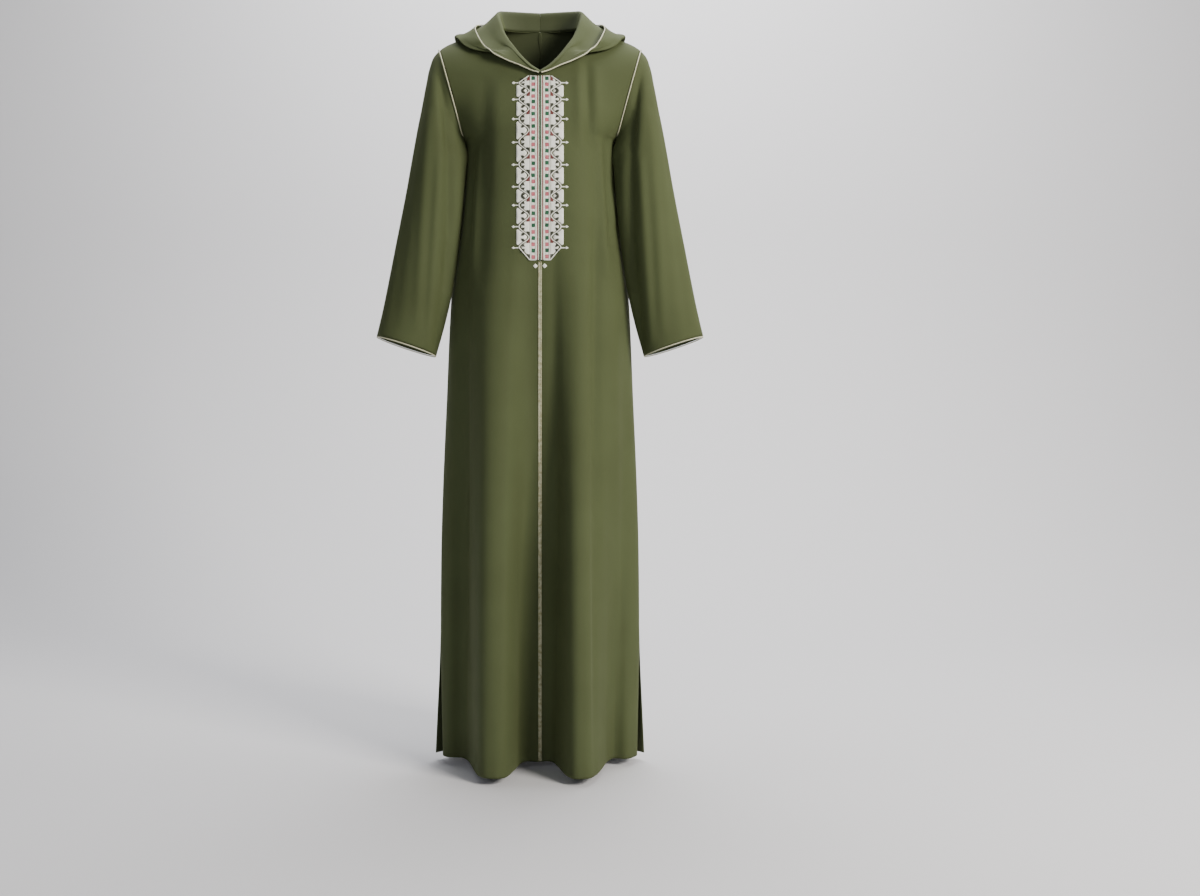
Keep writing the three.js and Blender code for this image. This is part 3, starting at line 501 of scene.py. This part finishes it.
# The sag, in metres, as on the right: its middle, its reach along x, y and z, and its depth.
SAG_MIDDLE = (0.146, -0.036, -0.243)
SAG_REACH = (0.011, 0.018, 0.034)
SAG_DEPTH = 0.0085
for word, sign in SIDES:
    rows = fine_rows(solid_rows(f"sleeve_{word}", (sign, 0, 0), closed=True), closed=True)
    outward = grid_normals(rows, True) * (rows - rows.mean(axis=1, keepdims=True))
    if outward.sum() < 0:
        rows = rows[:, ::-1]
    folds = [(sign * x0, z0, sign * x1, z1, *press) for x0, z0, x1, z1, *press in SLEEVE_CREASES]
    rows = crease(rows, folds, (0, -1, 0), closed=True)
    rows = crease(rows, folds, (0, 1, 0), closed=True)
    away = (rows * (sign, 1, 1) - SAG_MIDDLE) / SAG_REACH
    rows[..., 0] -= sign * SAG_DEPTH * np.exp(-(away**2).sum(axis=-1))
    sleeve = cloth_piece(f"sleeve_{word}_cloth", rows, True, crepe, wrong_side_and_stand_shade)
    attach(sleeve, "root")
    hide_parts(f"sleeve_{word}")

# Hood: two halves with a seam over the crown, pushed back. It stands up from the neck seam, turns
# over at a crest and falls outward, flat beside the V and into a bag behind the shoulders. Behind the
# neck the stand is coloured with the crepe's darker wrong side as painted shade. Slight drag lines
# run aslant from the V to the crest.
HOOD_CREASES = (
    (-104, 6, -40, -50, -2.0, 6),
    (-88, 16, -28, -42, 1.6, 5),
    (-114, -8, -62, -52, 1.4, 5),
    (98, 10, 36, -46, -2.2, 6),
    (84, 18, 30, -34, 1.5, 5),
    (112, -6, 54, -54, 1.6, 6),
)
HOOD_STEP = 0.003
BEHIND_NECK_Y = 0.03
FACES_FORWARD = -0.3
for word, _ in SIDES:
    rows = fine_rows(solid_rows(f"hood_{word}", (0, 1, 0)), step=HOOD_STEP)
    rows = crease(rows, HOOD_CREASES, (0, -0.7, 0.7))
    hood = cloth_piece(f"hood_{word}_cloth", rows, False, crepe, wrong_side_and_stand_shade)
    # Forward-facing faces of the stand behind the neck get the darker wrong-side material: painted shade.
    for face in hood.data.polygons:
        stand_in_painted_shade = face.center.y > BEHIND_NECK_Y and face.normal.y < FACES_FORWARD
        face.material_index = 1 if stand_in_painted_shade else 0
    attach(hood, "root")
    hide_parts(f"hood_{word}")

# Piping: two plies of cream rayon twisted into a round cord, sewn into the hood's free edge, the
# armhole seams and the cuffs. The twist shows as slanting ribs, with painted shade in the grooves between
# them.
PIPING_RADIUS = 0.0012
PIPING_TURN = 0.0064
PIPING_STEP = 0.0009
PIPING_SIDES = 10
PLY_WAIST = 0.24
RING_REACH = 0.0033


def cord_middle(node, order):
    """The middle line of a cord's solid, whose corners come in small rings, sorted along the cord.
    The two ends nearly meet at the V, so in front a ring stays on its own side."""
    mesh = bmesh.new()
    mesh.from_mesh(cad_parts[node].data)
    bmesh.ops.remove_doubles(mesh, verts=mesh.verts, dist=SAME_PLACE)
    corners = [v.co.copy() for v in mesh.verts]
    mesh.free()
    middles = []
    while corners:
        first = corners[0]
        ring = [c for c in corners if (c - first).length < RING_REACH and (c.y > 0 or c.x * first.x > 0)]
        corners = [c for c in corners if c not in ring]
        middles.append(sum(ring, Vector()) / len(ring))
    return np.array([m[:] for m in sorted(middles, key=order)])


def skin_over(name, rings, closed, material, twist=None):
    """A skin over rings of places, capped at its ends unless it is a loop. Its UV is round and along it."""
    count, sides = rings.shape[:2]
    runs = count if closed else count - 1
    faces = []
    for i in range(runs):
        here, there = i * sides, (i + 1) % count * sides
        for j in range(sides):
            k = (j + 1) % sides
            faces.append((here + j, here + k, there + k, there + j))
    if not closed:
        faces += [tuple(range(sides)), tuple(range((count - 1) * sides, count * sides))]
    mesh = bpy.data.meshes.new(name)
    mesh.from_pydata(rings.reshape(-1, 3).tolist(), [], faces)
    twist = np.zeros(count + 1) if twist is None else np.append(twist, 2 * twist[-1] - twist[-2])
    middles = np.concatenate([rings.mean(axis=1), rings[:1].mean(axis=1)])
    along = np.concatenate([[0], np.cumsum(np.linalg.norm(np.diff(middles, axis=0), axis=1))])
    uv = mesh.uv_layers.new(name="lay")
    for n, face in enumerate(mesh.polygons):
        i, j = divmod(n, sides)
        if i < runs and len(face.vertices) == 4:
            for loop, (di, dj) in zip(face.loop_indices, ((0, 0), (0, 1), (1, 1), (1, 0))):
                uv.data[loop].uv = ((j + dj) / sides - twist[i + di], along[i + di])
    mesh.polygons.foreach_set("use_smooth", [True] * len(mesh.polygons))
    mesh.materials.append(material)
    piece = bpy.data.objects.new(name, mesh)
    bpy.context.scene.collection.objects.link(piece)
    bpy.ops.object.select_all(action="DESELECT")
    piece.select_set(True)
    bpy.context.view_layer.objects.active = piece
    bpy.ops.object.mode_set(mode="EDIT")
    bpy.ops.mesh.select_all(action="SELECT")
    bpy.ops.mesh.normals_make_consistent(inside=False)
    bpy.ops.object.mode_set(mode="OBJECT")
    return piece


def twisted_cord(
    name, line, radius, turn_length, material, closed=False, step=PIPING_STEP, sides=PIPING_SIDES,
):
    """Two plies twisted together along a line, made as a two-lobed section that turns as it goes."""
    line = loft(line[:, None, :], step, closed)[:, 0]
    ahead = np.gradient(np.concatenate([line[-1:], line, line[:1]]) if closed else line, axis=0)
    ahead = ahead[1:-1] if closed else ahead
    ahead /= np.linalg.norm(ahead, axis=1, keepdims=True)
    not_ahead = (0.3, 0.5, 0.8)
    side = np.cross(ahead[0], not_ahead)
    sideways = []
    for direction in ahead:
        side = side - direction * (side @ direction)
        side /= np.linalg.norm(side)
        sideways.append(side)
    sideways = np.array(sideways)
    upward = np.cross(ahead, sideways)
    gaps = np.linalg.norm(np.diff(line, axis=0), axis=1)
    along = np.concatenate([[0], np.cumsum(gaps)])
    turns = along / turn_length
    if closed:
        turns *= round(turns[-1]) / turns[-1]
    angle = 2 * np.pi * np.arange(sides) / sides
    lobes = 1 - PLY_WAIST + PLY_WAIST * np.abs(np.cos(angle[None, :] - 2 * np.pi * turns[:, None]))
    cosine, sine = np.cos(angle)[None, :, None], np.sin(angle)[None, :, None]
    out = sideways[:, None] * cosine + upward[:, None] * sine
    rings = line[:, None] + out * lobes[..., None] * radius
    return skin_over(name, rings, closed, material, twist=turns)


def cord_material(name, colour, groove_shade, roughness=0.55):
    """Smooth rayon yarn. The grooves between its two plies are painted darker as shade, and fine filaments
    run along it.
    """
    yarn = new_material(name)
    place = add(yarn, "ShaderNodeTexCoord")
    lay = add(yarn, "ShaderNodeSeparateXYZ", [("Vector", (place, "UV"))])
    round_it = add(yarn, "ShaderNodeMath", [(0, (lay, "X"))], operation="MULTIPLY")
    round_it.inputs[1].default_value = 2 * math.pi
    wave = add(yarn, "ShaderNodeMath", [(0, round_it)], operation="COSINE")
    ply = add(yarn, "ShaderNodeMath", [(0, wave)], operation="ABSOLUTE")
    # Darker where the two plies meet: painted shade in the grooves.
    shade = add(yarn, "ShaderNodeValToRGB", [("Fac", ply)])
    shade.color_ramp.elements[0].position = 0.08
    shade.color_ramp.elements[0].color = linear(groove_shade)
    shade.color_ramp.elements[1].position = 0.5
    shade.color_ramp.elements[1].color = linear(colour)
    filament_map = add(yarn, "ShaderNodeMapping", [("Vector", (place, "UV"))], Scale=(14, 500, 1))
    filament = add(yarn, "ShaderNodeTexNoise", [("Vector", filament_map)], Scale=1.0, Detail=1.0)
    bump = add(yarn, "ShaderNodeBump", [("Height", filament)], Strength=0.3, Distance=0.0002)
    return finish_material(yarn, add(
        yarn, "ShaderNodeBsdfPrincipled", [("Base Color", shade), ("Normal", bump)],
        Roughness=roughness, Sheen_Weight=0.1, Specular_IOR_Level=0.4,
    ))


CREAM = "#c9c8aa"
# The groove colour is painted shade between the plies.
CREAM_GROOVE_SHADE = "#76744c"
cream_cord = cord_material("twisted cream rayon cord", CREAM, CREAM_GROOVE_SHADE)

hood_line = cord_middle("hood_piping", lambda m: -(math.atan2(m.x, -m.y) % (2 * math.pi)))
hood_piping = twisted_cord("hood_piping_cord", hood_line, PIPING_RADIUS, PIPING_TURN, cream_cord)
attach(hood_piping, "root")
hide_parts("hood_piping")

ARMHOLE_MIDDLE_Z = -0.133
for word, _ in SIDES:
    line = cord_middle(f"armhole_piping_{word}", lambda m: math.atan2(m.y, m.z - ARMHOLE_MIDDLE_Z))
    armhole = twisted_cord(f"armhole_piping_{word}_cord", line, PIPING_RADIUS, PIPING_TURN, cream_cord)
    low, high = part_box(f"cuff_piping_{word}")
    cuff_x, cuff_y = (low[0] + high[0]) / 2, (low[1] + high[1]) / 2
    line = cord_middle(f"cuff_piping_{word}", lambda m: math.atan2(m.y - cuff_y, m.x - cuff_x))
    cuff = twisted_cord(
        f"cuff_piping_{word}_cord", line, PIPING_RADIUS, PIPING_TURN, cream_cord, closed=True,
    )
    for piece, node in ((armhole, f"armhole_piping_{word}"), (cuff, f"cuff_piping_{word}")):
        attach(piece, "root")
        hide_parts(node)

# Centre braid: a flat plait of cream silk about 7 mm wide, sewn over the front seam from the placket
# to the hem. Its strands cross in a herringbone.
BRAID_TOP_Z = -458
BRAID_BOTTOM_Z = -1409
BRAID_PITCH = 2.6
BRAID_END = 2
TAPE_HALF = 3.3
STRAND_X = 1.65
STRAND_SLANT = 38
RELIEF_STEP = 0.003
RELIEF_SIDE = 0.0615
RELIEF_LOW = -1.4085
RELIEF_HIGH = -0.108
relief_x = np.arange(-RELIEF_SIDE, RELIEF_SIDE + RELIEF_STEP / 2, RELIEF_STEP)
relief_z = np.arange(RELIEF_LOW, RELIEF_HIGH, RELIEF_STEP)

front_corners, front_faces = [], []
for front in fronts.values():
    front_faces += [tuple(v + len(front_corners) for v in f.vertices) for f in front.data.polygons]
    front_corners += [v.co[:] for v in front.data.vertices]
front_surface = BVHTree.FromPolygons(front_corners, front_faces)
backward = Vector((0, 1, 0))
relief_y = np.array([
    [front_surface.ray_cast(Vector((x, -1, z)), backward)[0].y for x in relief_x] for z in relief_z
])
slope_z, slope_x = np.gradient(relief_y, RELIEF_STEP)


def on_front(x, z, height):
    """Places that lie a height above the front cloth, straight in front of x and z, all in metres."""
    i = np.clip((z - relief_z[0]) / RELIEF_STEP, 0, len(relief_z) - 1.001)
    j = np.clip((x - relief_x[0]) / RELIEF_STEP, 0, len(relief_x) - 1.001)
    row, column = i.astype(int), j.astype(int)
    s, t = i - row, j - column

    def read(values):
        low = values[row, column] * (1 - t) + values[row, column + 1] * t
        high = values[row + 1, column] * (1 - t) + values[row + 1, column + 1] * t
        return low * (1 - s) + high * s

    normal = np.stack([read(slope_x), -np.ones_like(x), read(slope_z)], axis=-1)
    normal /= np.linalg.norm(normal, axis=-1, keepdims=True)
    return np.stack([x, read(relief_y), z], axis=-1) + normal * height[..., None]


def stitched_pad(outline, height, rounding):
    """Models one flat pad of satin stitch from its outline in mm, raised and then rounded over."""
    bpy.ops.object.select_all(action="DESELECT")
    bpy.ops.mesh.primitive_circle_add(vertices=len(outline), radius=1, fill_type="NGON")
    pad = bpy.context.object
    area = sum(x0 * z1 - x1 * z0 for (x0, z0), (x1, z1) in zip(outline, outline[1:] + outline[:1]))
    turning = pad.data.vertices[0].co.cross(pad.data.vertices[1].co).z
    for vert, (x, z) in zip(pad.data.vertices, outline if area * turning > 0 else outline[::-1]):
        vert.co = (x, z, 0)
    bpy.ops.object.mode_set(mode="EDIT")
    bpy.ops.mesh.select_all(action="SELECT")
    bpy.ops.mesh.extrude_region_move(TRANSFORM_OT_translate={"value": (0, 0, height * 0.55)})
    bpy.ops.mesh.inset(thickness=rounding, depth=height * 0.3)
    bpy.ops.mesh.inset(thickness=rounding, depth=height * 0.15)
    bpy.ops.object.mode_set(mode="OBJECT")
    corners = np.array([v.co[:] for v in pad.data.vertices])
    faces = [tuple(f.vertices) for f in pad.data.polygons]
    bpy.data.objects.remove(pad)
    return corners, faces


def sewn_on(name, pad, places, material, lift=0.0):
    """Lays copies of a pad on the front as one piece. Each place is x, z, a turn in degrees and a side."""
    corners, pad_faces = pad
    every, faces = [], []
    for x, z, turn, side in places:
        cosine, sine = math.cos(math.radians(turn)), math.sin(math.radians(turn))
        px = x + corners[:, 0] * cosine - corners[:, 1] * sine
        pz = z + corners[:, 0] * sine + corners[:, 1] * cosine
        faces += [tuple(v + len(every) * len(corners) for v in face) for face in pad_faces]
        every.append(on_front(side * px / 1000, pz / 1000, (corners[:, 2] + lift) / 1000))
    mesh = bpy.data.meshes.new(name)
    mesh.from_pydata(np.concatenate(every).tolist(), [], faces)
    mesh.materials.append(material)
    piece = bpy.data.objects.new(name, mesh)
    bpy.context.scene.collection.objects.link(piece)
    bpy.ops.object.select_all(action="DESELECT")
    piece.select_set(True)
    bpy.context.view_layer.objects.active = piece
    bpy.ops.object.mode_set(mode="EDIT")
    bpy.ops.mesh.select_all(action="SELECT")
    bpy.ops.mesh.normals_make_consistent(inside=False)
    bpy.ops.object.mode_set(mode="OBJECT")
    bpy.ops.object.shade_smooth_by_angle(angle=math.radians(60))
    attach(piece, "root")
    return piece


def flat_band(name, heights, inner, outer, height, crown, material, side=1, columns=5):
    """A band that lies on the front between two edges, which are given in mm for each height."""
    across = np.linspace(0, 1, columns)
    heights = np.array(heights, dtype=float)
    low = np.array([inner(z) for z in heights])[:, None]
    high = np.array([outer(z) for z in heights])[:, None]
    top_x = low + (high - low) * across
    top_h = height + crown * np.sqrt(np.clip(4 * across * (1 - across), 0, 1)) * np.ones_like(top_x)
    x = np.concatenate([low, top_x, high], axis=1)
    h = np.concatenate([0 * low, top_h, 0 * high], axis=1)
    z = heights[:, None] * np.ones_like(x)
    rings = on_front(side * x / 1000, z / 1000, h / 1000)
    piece = skin_over(name, rings, False, material)
    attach(piece, "root")
    return piece


def oval(length, width, count):
    """The outline of an oval in mm."""
    return [
        (length / 2 * math.cos(2 * math.pi * n / count), width / 2 * math.sin(2 * math.pi * n / count))
        for n in range(count)
    ]


def silk_material(name, colour, shade_colour, slant):
    """Flat silk laid in rows of about 0.5 mm, drawn 0.9 mm wide so that they show, with a soft gloss."""
    silk = new_material(name)
    place = add(silk, "ShaderNodeTexCoord")
    turned = add(
        silk, "ShaderNodeMapping", [("Vector", (place, "Object"))], Rotation=(0, math.radians(slant), 0),
    )
    rows = add(
        silk, "ShaderNodeTexWave", [("Vector", turned)],
        wave_type="BANDS", bands_direction="X", Scale=350.0, Distortion=1.2, Detail=1.0,
    )
    blotch = add(silk, "ShaderNodeTexNoise", [("Vector", (place, "Object"))], Scale=160.0, Detail=2.0)
    shade = add(silk, "ShaderNodeValToRGB", [("Fac", blotch)])
    shade.color_ramp.elements[0].position = 0.35
    shade.color_ramp.elements[0].color = linear(shade_colour)
    shade.color_ramp.elements[1].position = 0.6
    shade.color_ramp.elements[1].color = linear(colour)
    bump = add(silk, "ShaderNodeBump", [("Height", rows)], Strength=0.35, Distance=0.0003)
    return finish_material(silk, add(
        silk, "ShaderNodeBsdfPrincipled", [("Base Color", shade), ("Normal", bump)],
        Roughness=0.5, Sheen_Weight=0.1, Specular_IOR_Level=0.45,
    ))


braid_silk = silk_material("cream silk braid", "#bfbd9f", "#9a9874", 0)
tape_silk = silk_material("olive and cream tape under the braid", "#7d7c5a", "#66663f", 90)

tape = flat_band(
    "centre_braid_tape", np.arange(BRAID_BOTTOM_Z, BRAID_TOP_Z + 1, 5),
    lambda z: -TAPE_HALF, lambda z: TAPE_HALF, 0.55, 0.1, tape_silk, columns=4,
)
strands = []
for n in range(int((BRAID_TOP_Z - BRAID_BOTTOM_Z - 2 * BRAID_END) / BRAID_PITCH)):
    z = BRAID_BOTTOM_Z + BRAID_END + BRAID_PITCH * n
    strands += [(STRAND_X, z, STRAND_SLANT, 1), (STRAND_X, z + BRAID_PITCH / 2, STRAND_SLANT, -1)]
strand = stitched_pad(oval(4.5, 2.2, 8), height=0.9, rounding=0.35)
plait = sewn_on("centre_braid_plait", strand, strands, braid_silk, lift=0.3)
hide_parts("centre_braid")

# Placket: a lace-like band of machine embroidery on each side of the closure. On a dark net, a waving
# cord parts white satin lobes from blocks, with dark leaves, triangles and a column of green and rose
# stitches, and the outer edge is scalloped between small picots.
# All in mm: heights, distances from the middle of the robe, and heights above the front cloth.
PICOTS = (-128.5, -161.0, -198.0, -241.0, -282.5, -322.9, -356.7, -395.8, -434.5)
PLACKET_TOP_Z = -114.5
PLACKET_BOTTOM_Z = -457
INNER_CORD_X = 7.9
OUTER_CORD_X = 17.6
WAVE_IN_X = 20.2
WAVE_OUT_X = 38.6
BLOCK_X = 43.4
NOTCH_X = 37.5
NOTCH_HALF = 3.6
NOTCH_ROUND = 4.0
WAVE_FULLNESS = 0.85
GROUND = 0.9
SATIN = GROUND + 0.35
SATIN_CROWN = 0.25
SATIN_ROWS = 16
LOBE_HALF = 13.4
BLOCK_END = 5.2
EMBROIDERY_CORD_RADIUS = 0.0011
EMBROIDERY_CORD_TURN = 0.0052
EMBROIDERY_CORD_STEP = 0.0012
EMBROIDERY_CORD_SIDES = 8
random.seed(11)

white_silk = silk_material("white satin stitch", "#f1f2e8", "#e6e7db", 90)
net_silk = silk_material("dark net ground under the satin", "#5f6148", "#4c4e38", 30)
white_cord = cord_material("white embroidery cord", "#f1f2e8", "#b9b9a2", 0.5)
green_silk = silk_material("green satin stitch", "#1f5a3a", "#184a30", 90)
red_silk = silk_material("rose satin stitch", "#bb6870", "#a8545e", 90)
dark_silk = silk_material("dark olive satin stitch", "#2f3220", "#25281a", 45)
dark_red_silk = silk_material("dark red satin stitch", "#6e3530", "#5c2a27", 45)


def placket_edge(z):
    """The outer edge of the net ground: rounded blocks with a notch at each picot."""
    if z > PICOTS[0]:
        return NOTCH_X + (OUTER_CORD_X + 0.5 - NOTCH_X) * (z - PICOTS[0]) / (PLACKET_TOP_Z - PICOTS[0])
    if z < PICOTS[-1]:
        return NOTCH_X + (OUTER_CORD_X - NOTCH_X) * (PICOTS[-1] - z) / (PICOTS[-1] - PLACKET_BOTTOM_Z)
    away = min(abs(z - picot) for picot in PICOTS)
    rise = min(max((away - NOTCH_HALF) / NOTCH_ROUND, 0), 1)
    return NOTCH_X + (BLOCK_X - NOTCH_X) * math.sqrt(1 - (1 - rise) ** 2)


def wave_x(z):
    """The waving cord is furthest out at each picot and nearest the middle halfway between two."""
    if z >= PICOTS[0] or z <= PICOTS[-1]:
        return placket_edge(z) + 0.8
    n = next(i for i in range(len(PICOTS) - 1) if PICOTS[i] >= z >= PICOTS[i + 1])
    t = (PICOTS[n] - z) / (PICOTS[n] - PICOTS[n + 1])
    swing = 0.5 + 0.5 * math.cos(2 * math.pi * t)
    return WAVE_IN_X + (WAVE_OUT_X - WAVE_IN_X) * swing**WAVE_FULLNESS


def laid_line(points, height, side):
    """Turns a line of x and z in mm into places on the front at a height in mm."""
    flat = np.array(points) / 1000
    return on_front(side * flat[:, 0], flat[:, 1], np.full(len(flat), height / 1000))


fine_heights = np.arange(PLACKET_BOTTOM_Z, PLACKET_TOP_Z, 1.3)
dots = {"green": [], "red": []}
triangles = {"upper": [], "lower": []}
leaves, picots, stalks = [], [], []
dot_heights = np.linspace(-120.5, -450.5, 30)
DOT_X = 12.6
PICOT_X = 48.6
STALK_X = 42.6
# Leaves in mm: how far out, how far from the height of a picot, and their turn.
LEAF_BY_PICOT = (31.8, 4.9, 40)
LEAF_BETWEEN = (31.0, 13.8, 34)
TRIANGLE_X = 20.9
TRIANGLE_RISE = 6.6
END_TRIANGLE_X = 20.6
for side in (-1, 1):
    for n, z in enumerate(dot_heights):
        colour = "green" if n % 2 == 0 else "red"
        x = DOT_X + random.uniform(-0.3, 0.3)
        dots[colour].append((x, z + random.uniform(-0.6, 0.6), random.uniform(-6, 6), side))
    x, away, turn = LEAF_BY_PICOT
    for z in PICOTS:
        picots.append((PICOT_X, z, 0, side))
        stalks.append((STALK_X, z, 0, side))
        leaves += [(x, z + away, turn, side), (x, z - away, -turn, side)]
    x, away, turn = LEAF_BETWEEN
    for upper, lower in zip(PICOTS, PICOTS[1:]):
        middle = (upper + lower) / 2
        leaves += [(x, upper - away, -turn, side), (x, lower + away, turn, side)]
        triangles["upper"].append((TRIANGLE_X, middle + TRIANGLE_RISE, 0, side))
        triangles["lower"].append((TRIANGLE_X, middle - TRIANGLE_RISE, 0, side))
    triangles["upper"].append((END_TRIANGLE_X, PLACKET_BOTTOM_Z + 7.5, 0, side))
    triangles["lower"].append((END_TRIANGLE_X, PLACKET_TOP_Z - 7.0, 0, side))

square = [
    (-3.3, -2.6), (-2.5, -3.5), (2.5, -3.5), (3.3, -2.6),
    (3.3, 2.6), (2.5, 3.5), (-2.5, 3.5), (-3.3, 2.6),
]
triangle = [(-2.0, -5.2), (0.6, -4.0), (4.4, 3.0), (3.6, 4.2), (-2.0, 3.6)]
leaf = [(-5.2, 0), (-2.0, -2.3), (1.8, -2.6), (5.2, 0), (1.8, 2.6), (-2.0, 2.3)]
diamond = [(-2.9, 0), (-0.6, -2.1), (0.2, -2.4), (3.4, -0.5), (3.4, 0.5), (0.2, 2.4), (-0.6, 2.1)]
stalk = [(-4.2, -1.1), (3.6, -0.9), (3.6, 0.9), (-4.2, 1.1)]

for word, side in SIDES:
    ground = flat_band(
        f"placket_{word}_ground", fine_heights, lambda z: OUTER_CORD_X, placket_edge,
        GROUND, 0.0, net_silk, side, 6,
    )
    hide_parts(f"placket_{word}")
    lobes = [
        flat_band(
            f"placket_{word}_lobe", np.linspace(z - LOBE_HALF, z + LOBE_HALF, SATIN_ROWS),
            lambda z: OUTER_CORD_X + 1.3, lambda z: wave_x(z) - 4.0,
            SATIN, SATIN_CROWN, white_silk, side, 6,
        )
        for z in PICOTS
    ]
    blocks = [
        flat_band(
            f"placket_{word}_block", np.linspace(lower + BLOCK_END, upper - BLOCK_END, SATIN_ROWS),
            lambda z: wave_x(z) + 3.8, lambda z: placket_edge(z) - 0.1,
            SATIN, SATIN_CROWN, white_silk, side, 6,
        )
        for upper, lower in zip(PICOTS, PICOTS[1:])
    ]
    for kind in (lobes, blocks):
        bpy.ops.object.select_all(action="DESELECT")
        for pad in kind:
            pad.select_set(True)
        bpy.context.view_layer.objects.active = kind[0]
        bpy.ops.object.join()
    column = flat_band(
        f"placket_{word}_stitch_column", np.arange(PLACKET_BOTTOM_Z, PLACKET_TOP_Z, 3),
        lambda z: INNER_CORD_X, lambda z: OUTER_CORD_X, GROUND, 0.0, white_silk, side, 3,
    )
    lines = {
        "inner_cord": [(INNER_CORD_X, z) for z in np.arange(PLACKET_BOTTOM_Z, PLACKET_TOP_Z + 0.5, 4)],
        "outer_cord": [(OUTER_CORD_X, z) for z in np.arange(PLACKET_BOTTOM_Z, PLACKET_TOP_Z + 0.5, 4)],
        "waving_cord": [(wave_x(z), z) for z in np.arange(PLACKET_BOTTOM_Z + 0.6, PLACKET_TOP_Z, 1.5)],
    }
    for name, line in lines.items():
        cord = twisted_cord(
            f"placket_{word}_{name}", laid_line(line, GROUND + 0.6, side),
            EMBROIDERY_CORD_RADIUS, EMBROIDERY_CORD_TURN, white_cord,
            step=EMBROIDERY_CORD_STEP, sides=EMBROIDERY_CORD_SIDES,
        )
        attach(cord, "root")

# Pads: their outline, height, rounding, places, silk, and how far above the front they start.
pads = {
    "placket_leaves": (leaf, 0.7, 0.4, leaves, dark_silk, GROUND + 0.6),
    "placket_green_stitches": (square, 0.6, 0.4, dots["green"], green_silk, GROUND - 0.05),
    "placket_rose_stitches": (square, 0.6, 0.4, dots["red"], red_silk, GROUND - 0.05),
    "placket_dark_triangles": (triangle, 0.7, 0.35, triangles["upper"], dark_silk, GROUND + 0.6),
    "placket_red_triangles": (
        [(x, -z) for x, z in triangle], 0.7, 0.35, triangles["lower"], dark_red_silk, GROUND + 0.6,
    ),
    "placket_picots": (diamond, 1.3, 0.45, picots, white_silk, 0.0),
    "placket_picot_stalks": (stalk, 1.1, 0.3, stalks, white_silk, 0.0),
}
for name, (outline, height, rounding, places, silk, lift) in pads.items():
    piece = sewn_on(name, stitched_pad(outline, height, rounding), places, silk, lift)

# Closure: the two front edges meet down the middle of the placket. Each is bound with a band of tape
# and four fine twisted cords laid side by side, green, pale, rose and pale again.
CLOSURE_RADIUS = 0.00095
CLOSURE_TURN = 0.0042
CLOSURE_WIDTH = 6.9
green_cord = cord_material("green embroidery cord", "#3d5c43", "#24362a")
rose_cord = cord_material("rose embroidery cord", "#8a4f4c", "#54302c")
pale_cord = cord_material("pale closure cord", "#e8e9da", "#a0a184")
CLOSURE_CORDS = (
    (0.9, "green", green_cord),
    (2.7, "pale", pale_cord),
    (4.5, "rose", rose_cord),
    (6.3, "cream", pale_cord),
)
for word, side in SIDES:
    band = flat_band(
        f"closure_{word}_band", np.arange(PLACKET_BOTTOM_Z + 1, PLACKET_TOP_Z, 4),
        lambda z: 0.0, lambda z: CLOSURE_WIDTH, 0.8, 0.0, tape_silk, side, 4,
    )
    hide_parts(f"closure_band_{word}")
    for x, name, yarn in CLOSURE_CORDS:
        line = [(x, z) for z in np.arange(PLACKET_BOTTOM_Z + 1, PLACKET_TOP_Z + 1.6, 4)]
        cord = twisted_cord(
            f"closure_{word}_{name}_cord", laid_line(line, 1.3, side), CLOSURE_RADIUS, CLOSURE_TURN, yarn,
            step=EMBROIDERY_CORD_STEP, sides=EMBROIDERY_CORD_SIDES,
        )
        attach(cord, "root")

# Diamonds: two small lozenges of white satin stitch under the placket, one each side of the braid.
DIAMOND_X = 8.6
DIAMOND_Z = -467
lozenge = [(-4.4, 0), (-0.5, -4.2), (0.5, -4.2), (4.4, 0), (0.5, 4.2), (-0.5, 4.2)]
for word, side in SIDES:
    pad = stitched_pad(lozenge, height=1.5, rounding=0.6)
    piece = sewn_on(f"diamond_{word}_stitch", pad, [(DIAMOND_X, DIAMOND_Z, 0, side)], white_silk)
    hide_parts(f"diamond_{word}")
